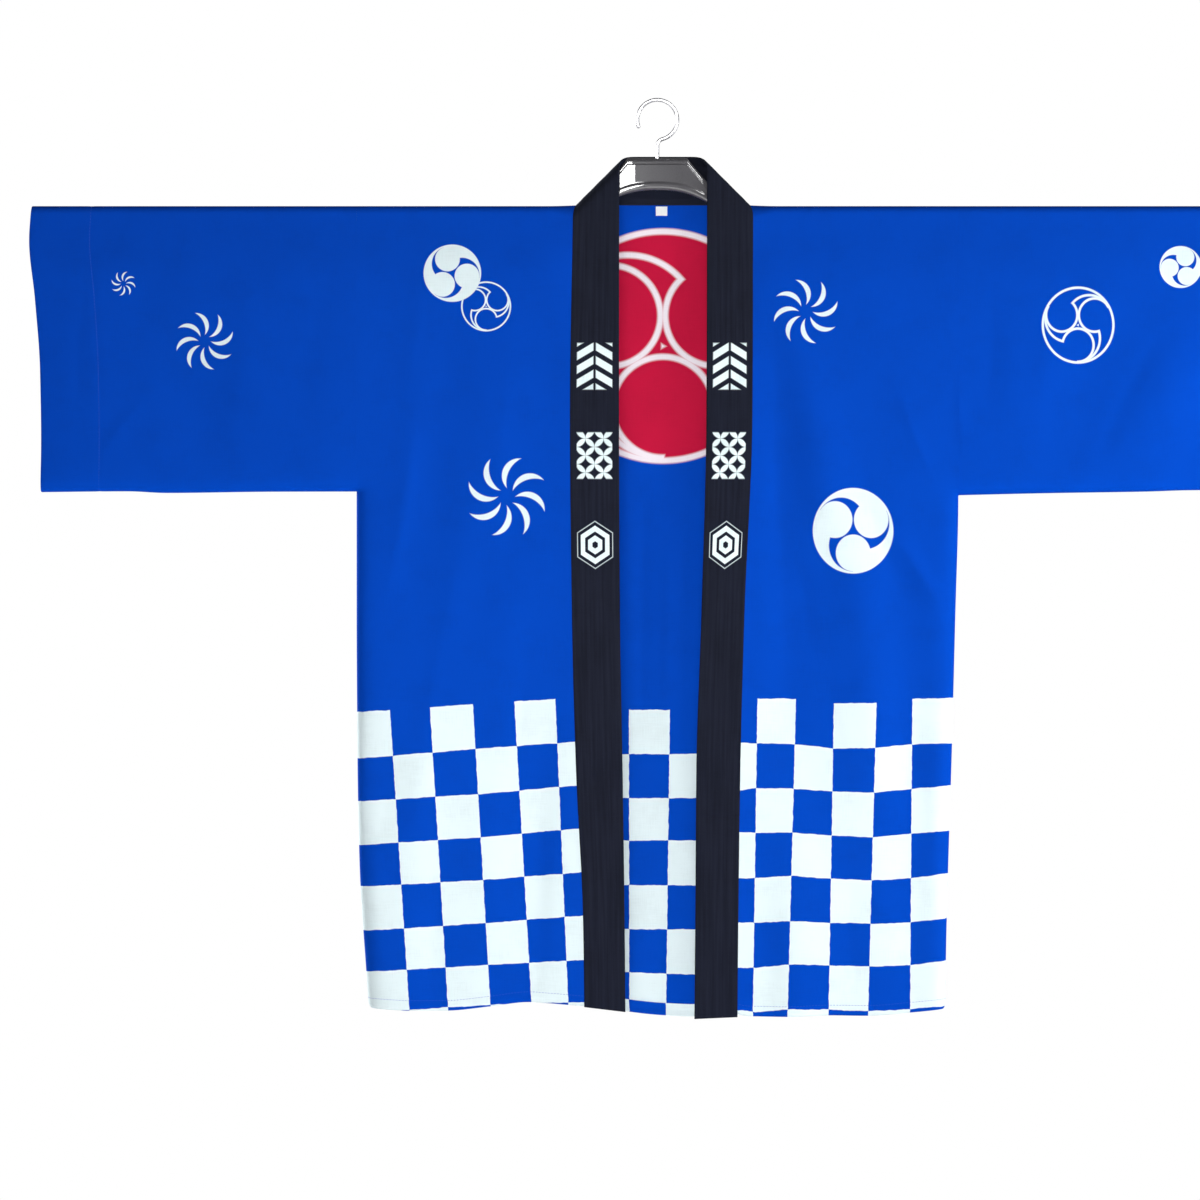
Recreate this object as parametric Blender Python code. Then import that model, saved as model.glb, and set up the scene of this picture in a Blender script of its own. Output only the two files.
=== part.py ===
"""A happi coat hanging on a straight kimono hanger, as the pieces it is cut and sewn from.

Sizes are in millimetres. x runs to the wearer's left and y from the coat's front to its
back. Heights are counted from the shoulder line, downwards negative, and the whole part
is lowered by HANG so that its origin is where the hook bears on a rail. x is counted from
the coat's middle line for the cloth, and from the hook for the hanger.
Left and right are the wearer's, so the right side has the negative x.
"""

import math

import bmesh
import bpy
import numpy as np

for old in list(bpy.data.objects):
    bpy.data.objects.remove(old, do_unlink=True)

MM = 0.001

# The cloth
CLOTH = 1.2  # wall of the printed cotton
BAND = 2.4  # wall of the doubled collar strip
TAG = 1.0  # wall of the neck label
SEAM = 0.3  # gap between pieces that are sewn together
HANG = 110.0  # height of the hook's bearing point over the shoulder line
ASIDE = 6.0  # the coat's middle hangs this far to the wearer's left of the hook

# The hanger's arms, which the shoulders and sleeves lie on
ARM_RADIUS = 7.5
ARM_CLEARANCE = 0.5
SHOULDER_ROLL = ARM_RADIUS + ARM_CLEARANCE + CLOTH / 2  # radius of the cloth's middle there

# How far the middle of the cloth lies in front of and behind the coat's middle plane
BODY_DEPTH = 13.0
SLEEVE_DEPTH = 11.0
EDGE_ROLL = 28.0  # width over which the cloth turns in to a side seam or a sleeve's foot
PARTING = 70.0  # height over which the walls part from the arm to their full depth
CUFF_FROM, CUFF_BY = 330.0, 620.0  # the body's depth becomes the sleeve's between these
ROLL_STEPS = 4
NECK_STEPS = 4
UPPER_ROWS, LOWER_ROWS = 5, 10
CORNER_ROW = ROLL_STEPS + UPPER_ROWS + ROLL_STEPS  # the row that meets the sleeve's foot
FRONT_COLUMNS, BACK_COLUMNS = 5, 4
SLEEVE_LENGTHS, SLEEVE_ROWS = 8, 6

# The collar strip
BAND_WIDTH = 48.5
BAND_SEAM = 0.4  # gap along the strip, whose edges curve more than the panels'
BAND_DEPTH = 14.0
SINK_FROM, SINK_BY = -25.0, -175.0  # the strip comes forward to its full depth between these
NECK_HALF = 94.5  # from the coat's centre to the strip's sewn edge at the shoulder
NECK_RISE = 4.6  # height of the strip's sewn edge round the back neck
NECK_ROLL = 10.0  # radius of the diagonal roll from front to back
JOIN = -640.0  # height of the seam where the strip is lengthened
SLANT_FROM = -95.0  # the strip's rows start to swing into line with its roll here
STRIP_COLUMNS = 3
HANGING_ROWS, SLANTING_ROWS, BEHIND_ROWS, END_ROWS = 9, 3, 4, 6

SIDES = (("right", -1), ("left", 1))

# Outline tables. Each is a set of named columns, read from the top down or from right to left.
SIDE_SEAMS = {
    "height": (0, -300, -430, -590, -690, -800, -860),
    "right": (-321.3, -321.3, -321.3, -320.3, -318.2, -311.4, -306.9),
    "left": (309.8, 309.8, 306.6, 302.4, 299.2, 296.6, 296.1),
}
BAND_EDGES = {
    "height": (0, -220, -430, -590, -745, -860),
    "right sewn": (-94.5, -97.7, -95.6, -91.4, -84.0, -82.4),
    "right free": (-46.0, -46.2, -45.2, -42.5, -40.4, -39.4),
    "left free": (46.0, 45.2, 39.9, 34.7, 33.6, 32.6),
    "left sewn": (94.5, 93.5, 85.1, 80.9, 78.8, 77.7),
}
BAND_HEM = {"right sewn": -839.5, "right free": -844.7, "left free": -852.0, "left sewn": -850.0}
HEMS = {
    "front_right": {
        "x": (-310, -288, -266, -227, -182, -140, -118, -83),
        "height": (-840, -841.5, -842.6, -842.6, -838.4, -833.7, -835, -838),
    },
    "front_left": {
        "x": (78, 94, 130, 173, 214, 257, 297),
        "height": (-845.5, -848.5, -849, -847.5, -848, -845, -841),
    },
    "back": {
        "x": (-310, -270, -227, -182, -140, -105, -75, -38, 0, 35, 80, 200, 297),
        "height": (-836, -839, -838.5, -835, -831, -833, -839, -845, -849, -850.5, -848, -846, -840),
    },
}
CUFF_REACH = {
    "height": (0, -35, -98, -172, -245, -310),
    "reach": (340.2, 342.3, 336.0, 330.8, 329.7, 330.8),
}
SLEEVE_FOOT = {
    "reach": (0, 90, 200, 240, 345),
    "right": (-299.0, -299.2, -300.5, -298.8, -299.8),
    "left": (-302.9, -300.8, -299.0, -297.7, -297.0),
}
UNDERARM_CLEAR = 1.3  # the side seam starts this far under the sleeve's foot

# The largest folds. Each is a soft ridge, or with a negative rise a trough, along a line.
# Columns: top x, top height, foot x, foot height, rise, half width.
FOLDS = {
    "front": (
        (-218, -40, -296, -400, -4.0, 30),
        (-175, -150, -240, -560, 3.2, 26),
        (-120, -420, -150, -980, -3.0, 34),
        (-262, -520, -268, -960, 2.8, 28),
        (150, -60, 172, -470, -4.2, 26),
        (172, -130, 252, -600, 4.6, 24),
        (232, -330, 302, -440, 3.0, 12),
        (252, -470, 258, -980, -3.4, 30),
        (128, -560, 150, -990, 3.0, 26),
        (590, -80, 468, -310, 4.0, 30),
        (500, -60, 400, -300, -3.0, 34),
        (-560, -40, -420, -330, -3.0, 44),
    ),
    "back": (
        (190, -40, 285, -420, -4.0, 30),
        (-185, -40, -290, -430, -4.0, 30),
        (120, -120, 205, -640, 3.6, 30),
        (-110, -140, -200, -660, 3.8, 32),
        (10, -260, -25, -980, -3.4, 40),
        (235, -480, 240, -990, 3.2, 30),
        (-250, -520, -262, -980, 3.0, 28),
        (100, -520, 120, -990, -3.2, 28),
        (-130, -560, -120, -990, -2.8, 26),
        (540, -60, 430, -320, 3.4, 32),
        (-520, -60, -410, -320, 3.4, 32),
    ),
}
FOLD_CLEAR_OF_COLLAR = 50.0

# The rest of the hanger
ARM_HEIGHT = -SHOULDER_ROLL
ARM_START = 122.0
ARM_END = 634.0
ARM_SIDES = 20
ARM_CHAMFER = 2.0
CORE_TOP = 50.5
CORE_FLAT = 31.2  # half the length of the level top
CORE_FLANK = 1.18  # fall of the flanks beyond it, to each mm
CORE_ARCH_TOP = 17.0
CORE_ARCH_FALL = 34.0
CORE_ARCH_HALF = 78.0
CORE_ARCH_POWER = 2.4
CORE_THINNING, THIN_FROM = 0.43, 55.0  # the moulding loses this share of its depth by there
SPIGOT_RADIUS = 5.5
SPIGOT_HEIGHT = -10.5
SPIGOT_TURN = 80.0
SPIGOT_FROM, SPIGOT_BY = 66.0, 92.0  # the moulding turns into its round spigot between these
CORE_STATIONS = (0, 12, 22, CORE_FLAT, 39, 47, 55, 63, 71, 78.3, 84, 90, 96, ARM_START - SEAM)
# Columns: up from the foot, or else down from the top, and half depth.
CORE_PROFILE = (
    (0.0, None, 4.6),
    (1.2, None, 7.3),
    (2.6, None, 8.0),
    (7.0, None, 8.0),
    (8.4, None, 6.7),
    (None, 8.0, 6.7),
    (None, 3.5, 5.7),
    (None, 1.0, 3.4),
    (None, 0.0, 1.4),
)
WIRE_RADIUS = 2.0
BOW_INNER_RADIUS = 19.0
BOW_TIP_ANGLE = 205.0
BOW_FOOT_ANGLE = -75.0
BOW_POINTS, BEND_POINTS, SHANK_POINTS = 23, 6, 3
SHANK_IN_CORE = 20.0
SHANK_CLEARANCE = 0.35
HOLE_SPARE = 2.0  # the shank's hole goes this much deeper than the shank
HOLE_SIDES = 16
DRILL_OVER = 8.0  # the cutter stands this far out of the hole

# The label, on the inside of the back
LABEL_X = (-7.4, 4.6)
LABEL_HEIGHT = (-4.0, -11.4)
LABEL_STEPS = 4

# Finishes: colour, roughness, metallic
BLUE_COTTON = ((0.0, 0.055, 0.456), 0.85, 0.0)
BLACK_COTTON = ((0.012, 0.012, 0.02), 0.85, 0.0)
WHITE_TAPE = ((0.9, 0.91, 0.9), 0.85, 0.0)
DARK_PLASTIC = ((0.03, 0.03, 0.033), 0.15, 0.0)
STEEL = ((0.6, 0.6, 0.62), 0.3, 1.0)
SHARP = math.radians(40)  # creases between faces stay hard from this angle on

HALF_TURN = math.pi / 2
# The neck roll's axis, measured outwards and up from the point where the strip's sewn edge
# meets the shoulder line. It is set so that the strip comes level at NECK_RISE behind.
ROLL_AXIS = (NECK_RISE * math.sqrt(2) - math.pi * NECK_ROLL) / 2
CREST_FLAT = math.sqrt(2) * (ROLL_AXIS + HALF_TURN * NECK_ROLL)
CREST_CLEARANCE = 2.2
CREST_SPREAD = 12.0
NECK_TURN_FOOT = 24.0  # below this the front panels' edges follow the strip height for height
NECK_BLEND = 26.0  # width over which a panel is drawn to the strip's own edge
NECK_FADE = 30.0  # the back's neck shape has faded out this far under the shoulder line


def smooth_step(t):
    t = np.clip(t, 0, 1)
    return t * t * (3 - 2 * t)


def through(at, along, values):
    """A smooth cubic through a table's points that never swings past them."""
    along, values = np.asarray(along, float), np.asarray(values, float)
    if along[0] > along[-1]:
        along, values = along[::-1], values[::-1]
    chord = np.diff(values) / np.diff(along)
    product = chord[:-1] * chord[1:]
    both = np.where(product > 0, chord[:-1] + chord[1:], 1)
    level = np.where(product > 0, 2 * product / both, 0)
    slope = np.concatenate([chord[:1], level, chord[-1:]])
    at = np.clip(at, along[0], along[-1])
    i = np.clip(np.searchsorted(along, at, side="right") - 1, 0, len(along) - 2)
    step = along[i + 1] - along[i]
    t = (at - along[i]) / step
    return (
        values[i] * (1 + 2 * t) * (1 - t) ** 2
        + values[i + 1] * t * t * (3 - 2 * t)
        + slope[i] * step * t * (1 - t) ** 2
        - slope[i + 1] * step * t * t * (1 - t)
    )


def turned_in(distance, width):
    """Depth share of cloth that turns in to a closed edge: a quarter ellipse, 0 at the edge."""
    return np.sqrt(1 - (1 - np.clip(distance / width, 0, 1)) ** 2)


def roll_offsets(width):
    """Distances from a closed edge that cut its quarter turn into equal angles."""
    return width * (1 - np.cos(np.linspace(0, HALF_TURN, ROLL_STEPS + 1)))


def spread(start, stop, count):
    """count even steps from start to stop, without start itself."""
    return np.linspace(start, stop, count + 1)[1:]


def side_seam(side, height):
    return through(height, SIDE_SEAMS["height"], SIDE_SEAMS[side])


def underarm(side):
    return SLEEVE_FOOT[side][0] - UNDERARM_CLEAR


def fold_relief(face, x, height):
    """Height of the folds over the plain wall at points of one face of the coat."""
    total = np.zeros_like(x)
    for top_x, top_height, foot_x, foot_height, rise, half_width in FOLDS[face]:
        run_x, run_height = foot_x - top_x, foot_height - top_height
        length = math.hypot(run_x, run_height)
        along = ((x - top_x) * run_x + (height - top_height) * run_height) / length**2
        across = ((x - top_x) * run_height - (height - top_height) * run_x) / length
        swell = np.sin(math.pi * np.clip(along, 0, 1))
        total += rise * swell * np.exp(-((across / half_width) ** 2))
    return total


def wall_depth(face, x, height):
    """Distance of the cloth from the middle plane, away from its closed edges."""
    lowered = smooth_step((-height - SHOULDER_ROLL) / PARTING)
    to_cuff = smooth_step((np.abs(x) - CUFF_FROM) / (CUFF_BY - CUFF_FROM))
    hanging = BODY_DEPTH + (SLEEVE_DEPTH - BODY_DEPTH) * to_cuff
    plain = SHOULDER_ROLL + (hanging - SHOULDER_ROLL) * lowered
    near_band = smooth_step((np.abs(x) - NECK_HALF) / FOLD_CLEAR_OF_COLLAR)
    held = near_band if face == "front" else 1
    return plain + fold_relief(face, x, height) * lowered * held


def body_wall(face, x, height, opened=0.0):
    """y of a body panel's middle. opened is 1 where the neck leaves its top edge free."""
    distance = np.full_like(x, np.inf)
    for side, sign in SIDES:
        inward = sign * (side_seam(side, height) - x)
        over_corner = np.clip(height - underarm(side), 0, None)
        distance = np.minimum(distance, np.hypot(inward, over_corner))
    crest = opened + (1 - opened) * turned_in(-height, SHOULDER_ROLL)
    depth = wall_depth(face, x, height) * turned_in(distance, EDGE_ROLL) * crest
    return (-1 if face == "front" else 1) * (SEAM / 2 + depth)


def collar_point(sign, across, flat):
    """Points of the collar strip's middle.

    across counts from the sewn edge to the free edge. flat counts up the strip from the
    shoulder line: the strip stands upright in front, rolls round an axis at 45 degrees and
    lies level behind the neck, as a strip of cloth does when it is folded over at 45 degrees.
    """
    side = "left" if sign > 0 else "right"
    outward = (flat - across) / math.sqrt(2)
    upward = (flat + across) / math.sqrt(2)
    arc = outward - ROLL_AXIS - HALF_TURN * NECK_ROLL
    turn = np.clip(arc / NECK_ROLL, -HALF_TURN, HALF_TURN)
    straight = np.abs(arc - turn * NECK_ROLL)
    out = ROLL_AXIS + NECK_ROLL * np.cos(turn) - straight
    inset = (upward - out) / math.sqrt(2)
    height = (upward + out) / math.sqrt(2)

    share = across / BAND_WIDTH
    sewn = through(flat, BAND_EDGES["height"], BAND_EDGES[side + " sewn"])
    free = through(flat, BAND_EDGES["height"], BAND_EDGES[side + " free"])
    hung = (1 - share) * (sewn - sign * NECK_HALF)
    hung = hung + share * (free - sign * (NECK_HALF - BAND_WIDTH))
    sunk = (BAND_DEPTH - NECK_ROLL) * smooth_step((flat - SINK_FROM) / (SINK_BY - SINK_FROM))
    x = sign * (NECK_HALF - inset) + hung
    return np.stack([x, NECK_ROLL * np.sin(turn) - sunk, height], -1)


def seam_clearance(flat):
    """Gap beside the strip, wider where both walls turn over the shoulder."""
    return BAND_SEAM + CREST_CLEARANCE * np.exp(-(((flat - CREST_FLAT) / CREST_SPREAD) ** 2))


def front_neck_edge(sign, drop):
    """Where a front panel meets the strip, for points this far under the crest.

    Over the shoulder both turn by the same angle, so that neither stands past the other.
    """
    angle = np.arccos(1 - np.clip(drop / SHOULDER_ROLL, 0, 1))
    turning = CREST_FLAT - math.sqrt(2) * NECK_ROLL * angle
    turn_foot = CREST_FLAT - math.sqrt(2) * NECK_ROLL * HALF_TURN
    share = np.clip((drop - SHOULDER_ROLL) / (NECK_TURN_FOOT - SHOULDER_ROLL), 0, 1)
    joining = turn_foot + (-NECK_TURN_FOOT - turn_foot) * share
    flat = np.where(drop < SHOULDER_ROLL, turning, joining)
    flat = np.where(drop < NECK_TURN_FOOT, flat, -drop)
    return collar_point(sign, -seam_clearance(flat), flat)


def back_neck_edge():
    """Where the back meets the strip, from the right shoulder round to the left."""
    turn = math.sqrt(2) * NECK_ROLL * spread(0, HALF_TURN, NECK_STEPS)
    flat = np.concatenate([[CREST_FLAT], CREST_FLAT + turn, [NECK_HALF]])
    right = collar_point(-1, -seam_clearance(flat), flat)
    left = collar_point(1, -seam_clearance(flat), flat)[::-1]
    return np.concatenate([right, left[1:]])


def crest_drop(x, neck_point):
    """How the shoulder's crest comes down to the neck point: shifts in x and height."""
    near = (1 - np.clip((np.abs(x) - abs(neck_point[0])) / NECK_BLEND, 0, 1)) ** 2
    return np.sign(x) * (abs(neck_point[0]) - NECK_HALF) * near, neck_point[2] * near


def row_heights(x, hem):
    """Heights of a body panel's rows, closest where the cloth turns. One column for each x."""
    reach = (x - SIDE_SEAMS["right"][0]) / (SIDE_SEAMS["left"][0] - SIDE_SEAMS["right"][0])
    corner = underarm("right") + (underarm("left") - underarm("right")) * reach
    top = -SHOULDER_ROLL
    rows = [np.full_like(x, -offset) for offset in roll_offsets(SHOULDER_ROLL)]
    rows += [top + (corner + EDGE_ROLL - top) * f for f in spread(0, 1, UPPER_ROWS)]
    rows += [corner + offset for offset in roll_offsets(EDGE_ROLL)[-2::-1]]
    rows += [corner + (hem - corner) * f for f in spread(0, 1, LOWER_ROWS)]
    return np.array(rows)


def cloth_wall(name, middle, thickness, look, outward, tube=False, level=()):
    """A closed wall round a grid of middle points: rows first, then columns.

    Each side lies half the thickness off along the grid's own normals. level lists the
    edges, as index pairs, whose normals keep to the coat's middle plane, because the panel
    on the other side of the seam is their mirror image.
    """
    down = np.gradient(middle, axis=0)
    if tube:
        sideways = np.roll(middle, -1, 1) - np.roll(middle, 1, 1)
    else:
        sideways = np.gradient(middle, axis=1)
    normal = np.cross(down, sideways) * outward
    for edge in level:
        normal[edge][..., 1] = 0
    normal /= np.linalg.norm(normal, axis=-1, keepdims=True)
    outer = middle + normal * thickness / 2
    inner = middle - normal * thickness / 2

    rows, columns = middle.shape[:2]
    index = np.arange(rows * columns).reshape(rows, columns)
    if tube:
        index = np.hstack([index, index[:, :1]])
    under = index + rows * columns

    def quads(grid):
        corners = [grid[:-1, :-1], grid[1:, :-1], grid[1:, 1:], grid[:-1, 1:]]
        return np.stack(corners, -1).reshape(-1, 4)

    faces = [quads(index), quads(under)[:, ::-1]]
    rims = [(index[0], under[0]), (index[-1], under[-1])]
    if not tube:
        rims += [(index[:, 0], under[:, 0]), (index[:, -1], under[:, -1])]
    for over, below in rims:
        faces.append(np.stack([over[:-1], over[1:], below[1:], below[:-1]], -1))
    points = np.concatenate([outer.reshape(-1, 3), inner.reshape(-1, 3)])
    return solid(name, points, np.concatenate(faces).tolist(), look)


def solid(name, points, faces, look, aside=ASIDE):
    """An object from points in millimetres, heights counted from the shoulder line."""
    mesh = bpy.data.meshes.new(name)
    placed = (np.asarray(points) + (aside, 0, -HANG)) * MM
    mesh.from_pydata(placed.tolist(), [], faces)
    work = bmesh.new()
    work.from_mesh(mesh)
    bmesh.ops.recalc_face_normals(work, faces=work.faces)
    work.to_mesh(mesh)
    work.free()
    thing = bpy.data.objects.new(name, mesh)
    bpy.context.collection.objects.link(thing)
    mesh.materials.append(finish(name, look))
    mesh.shade_smooth()
    return thing


def finish(name, look):
    colour, roughness, metallic = look
    material = bpy.data.materials.new(name)
    material.use_nodes = True
    shader = material.node_tree.nodes["Principled BSDF"]
    shader.inputs["Base Color"].default_value = (*colour, 1)
    shader.inputs["Roughness"].default_value = roughness
    shader.inputs["Metallic"].default_value = metallic
    return material


def front_panel(side, sign):
    """One front, with its side seam turned in and its inner edge following the strip."""
    name = f"front_{side}"
    roll = roll_offsets(EDGE_ROLL)
    seam_x, edge_x = side_seam(side, 0.0), sign * NECK_HALF
    blend_x = edge_x + sign * NECK_BLEND
    plain = spread(seam_x - sign * EDGE_ROLL, blend_x, FRONT_COLUMNS)
    level = np.concatenate([seam_x - sign * roll, plain, spread(blend_x, edge_x, 2)])
    hem = HEMS[name]
    at_hem = side_seam(side, np.mean(hem["height"])) + (level - seam_x)
    height = row_heights(level, through(at_hem, hem["x"], hem["height"]))
    # Columns keep their distance from the side seam in the roll and share out the rest.
    inside = np.clip((np.abs(seam_x - level) - EDGE_ROLL) / (abs(seam_x - edge_x) - EDGE_ROLL), 0, 1)
    lean = through(height, BAND_EDGES["height"], BAND_EDGES[side + " sewn"]) - edge_x
    side_lean = side_seam(side, height) - seam_x
    x = level + side_lean * (1 - inside) + lean * inside
    middle = np.stack([x, body_wall("front", x, height), height], -1)

    target = front_neck_edge(sign, -height[:, -1])
    target[0, 1] = -SEAM / 2
    pull = target - middle[:, -1]
    near = (1 - np.clip(np.abs(x - x[:, -1:]) / NECK_BLEND, 0, 1)) ** 2
    middle += pull[:, None] * near[..., None]
    edges = [np.s_[:1], np.s_[CORNER_ROW:, :1]]
    return cloth_wall(name, middle, CLOTH, BLUE_COTTON, -sign, level=edges)


def back_middle(x, height):
    """Middle points of the back, for heights counted from its level shoulder line."""
    neck = back_neck_edge()
    neck_point = neck[-1]
    shift_x, shift_height = crest_drop(x, neck_point)
    in_neck = np.abs(x) < abs(neck_point[0])
    top_y = np.where(in_neck, np.interp(x, neck[:, 0], neck[:, 1]), SEAM / 2)
    top_height = np.where(in_neck, np.interp(x, neck[:, 0], neck[:, 2]), shift_height)
    opened = np.clip((top_y - SEAM / 2) / SHOULDER_ROLL, 0, 1)
    fading = (1 - np.clip(-height / NECK_FADE, 0, 1)) ** 2
    at_top = body_wall("back", x, np.zeros_like(x), opened)
    y = body_wall("back", x, height, opened) + (top_y - at_top) * fading
    moved_x = x + np.where(in_neck, 0, shift_x * fading)
    return np.stack([moved_x, y, height + top_height * fading], -1)


def back_panel():
    roll = roll_offsets(EDGE_ROLL)
    right, left = side_seam("right", 0.0), side_seam("left", 0.0)
    neck_x = back_neck_edge()[:, 0]
    turning = neck_x[1 : NECK_STEPS + 1]
    level = np.concatenate(
        [
            right + roll,
            spread(right + EDGE_ROLL, neck_x[0] - NECK_BLEND, BACK_COLUMNS),
            [neck_x[0]],
            turning,
            spread(turning[-1], -turning[-1], BACK_COLUMNS),
            -turning[-2::-1],
            [-neck_x[0], -neck_x[0] + NECK_BLEND],
            spread(-neck_x[0] + NECK_BLEND, left - EDGE_ROLL, BACK_COLUMNS),
            left - roll[-2::-1],
        ]
    )
    hem = HEMS["back"]
    lowest = np.mean(hem["height"])
    at_hem = np.interp(level, (right, left), (side_seam("right", lowest), side_seam("left", lowest)))
    height = row_heights(level, through(at_hem, hem["x"], hem["height"]))
    share = np.clip((level - right - EDGE_ROLL) / (left - right - 2 * EDGE_ROLL), 0, 1)
    lean_right = side_seam("right", height) - right
    lean_left = side_seam("left", height) - left
    x = level + lean_right * (1 - share) + lean_left * share
    middle = back_middle(x, height)
    crest = np.abs(level) >= abs(neck_x[0]) - 0.01
    edges = [np.s_[:1, crest], np.s_[CORNER_ROW:, :1], np.s_[CORNER_ROW:, -1:]]
    return cloth_wall("back", middle, CLOTH, BLUE_COTTON, 1, level=edges)


def sleeve(side, sign):
    """A flattened tube, folded over the arm and sewn along its foot."""
    steps = np.linspace(0, 1, SLEEVE_LENGTHS + 1)
    foot_at = through(steps * CUFF_REACH["reach"][-1], SLEEVE_FOOT["reach"], SLEEVE_FOOT[side])
    top = -roll_offsets(SHOULDER_ROLL)
    wall = spread(0, 1, SLEEVE_ROWS)
    foot = roll_offsets(EDGE_ROLL)[-2::-1]
    rows = []
    for lowest in foot_at:
        straight = top[-1] + (lowest + EDGE_ROLL - top[-1]) * wall
        rows.append(np.concatenate([top, straight, lowest + foot]))
    front = np.array(rows)
    height = np.hstack([front, front[:, -2:0:-1]])
    face_sign = np.ones(height.shape[1])
    face_sign[: front.shape[1]] = -1
    cuff = through(height, CUFF_REACH["height"], CUFF_REACH["reach"])
    reach = SEAM + (cuff - SEAM) * steps[:, None]
    x = side_seam(side, 0.0) + sign * reach
    inside = turned_in(height - foot_at[:, None], EDGE_ROLL) * turned_in(-height, SHOULDER_ROLL)
    front_depth = wall_depth("front", x, height)
    back_depth = wall_depth("back", x, height)
    y = face_sign * np.where(face_sign < 0, front_depth, back_depth) * inside
    middle = np.stack([x, y, height], -1)
    return cloth_wall(f"sleeve_{side}", middle, CLOTH, BLUE_COTTON, sign, tube=True)


def neck_rows(across):
    """Rows of the strip round the neck, up one front to the centre back.

    In the roll the rows lie along its axis, at 45 degrees across the strip. Before and
    after it they swing back to square.
    """
    roll = math.sqrt(2) * NECK_ROLL * HALF_TURN
    base = np.concatenate(
        [
            [SLANT_FROM + SEAM / 2],
            spread(SLANT_FROM + SEAM / 2, CREST_FLAT - roll, SLANTING_ROWS),
            spread(CREST_FLAT - roll, CREST_FLAT + roll, 2 * NECK_STEPS),
            spread(CREST_FLAT + roll, NECK_HALF + NECK_RISE, BEHIND_ROWS),
        ]
    )[:, None]
    slanting = smooth_step((base - SLANT_FROM) / (CREST_FLAT - roll - SLANT_FROM))
    squaring = (base - CREST_FLAT - roll) / (NECK_HALF + NECK_RISE - CREST_FLAT - roll)
    return base + across * slanting * (1 - np.clip(squaring, 0, 1))


def collar_neck():
    """The strip over both shoulders and round the back of the neck.

    The strip is one length from join seam to join seam. It is parted here and in front
    into simpler solids, so that what stands for it in a collision leaves the neck open.
    """
    across = np.linspace(0, BAND_WIDTH, STRIP_COLUMNS)[None]
    flat = neck_rows(across)
    across = across + 0 * flat
    right = collar_point(-1, across, flat)
    left = collar_point(1, across, flat)[-2::-1]
    return cloth_wall("collar_neck", np.concatenate([right, left]), BAND, BLACK_COTTON, 1)


def collar_front(side, sign):
    """The strip's straight length down one front, from the neck to the join seam."""
    across = np.linspace(0, BAND_WIDTH, STRIP_COLUMNS)[None]
    flat = np.linspace(SLANT_FROM - SEAM / 2, JOIN + SEAM / 2, HANGING_ROWS)[:, None] + 0 * across
    middle = collar_point(sign, across + 0 * flat, flat)
    return cloth_wall(f"collar_{side}", middle, BAND, BLACK_COTTON, -sign)


def collar_end(side, sign):
    share = np.linspace(0, 1, STRIP_COLUMNS)[None]
    foot = BAND_HEM[side + " sewn"] * (1 - share) + BAND_HEM[side + " free"] * share
    top = JOIN - SEAM / 2
    flat = top + (foot - top) * np.linspace(0, 1, END_ROWS)[:, None]
    middle = collar_point(sign, share * BAND_WIDTH + 0 * flat, flat)
    return cloth_wall(f"collar_end_{side}", middle, BAND, BLACK_COTTON, -sign)


def neck_label():
    """A bare tag on the inside of the back, made from the back's points moved inwards."""
    x, height = np.meshgrid(np.linspace(*LABEL_X, LABEL_STEPS), np.linspace(*LABEL_HEIGHT, LABEL_STEPS))
    middle = back_middle(x, height)
    middle[..., 1] -= CLOTH / 2 + SEAM + TAG / 2
    return cloth_wall("neck_label", middle, TAG, WHITE_TAPE, 1)


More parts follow.
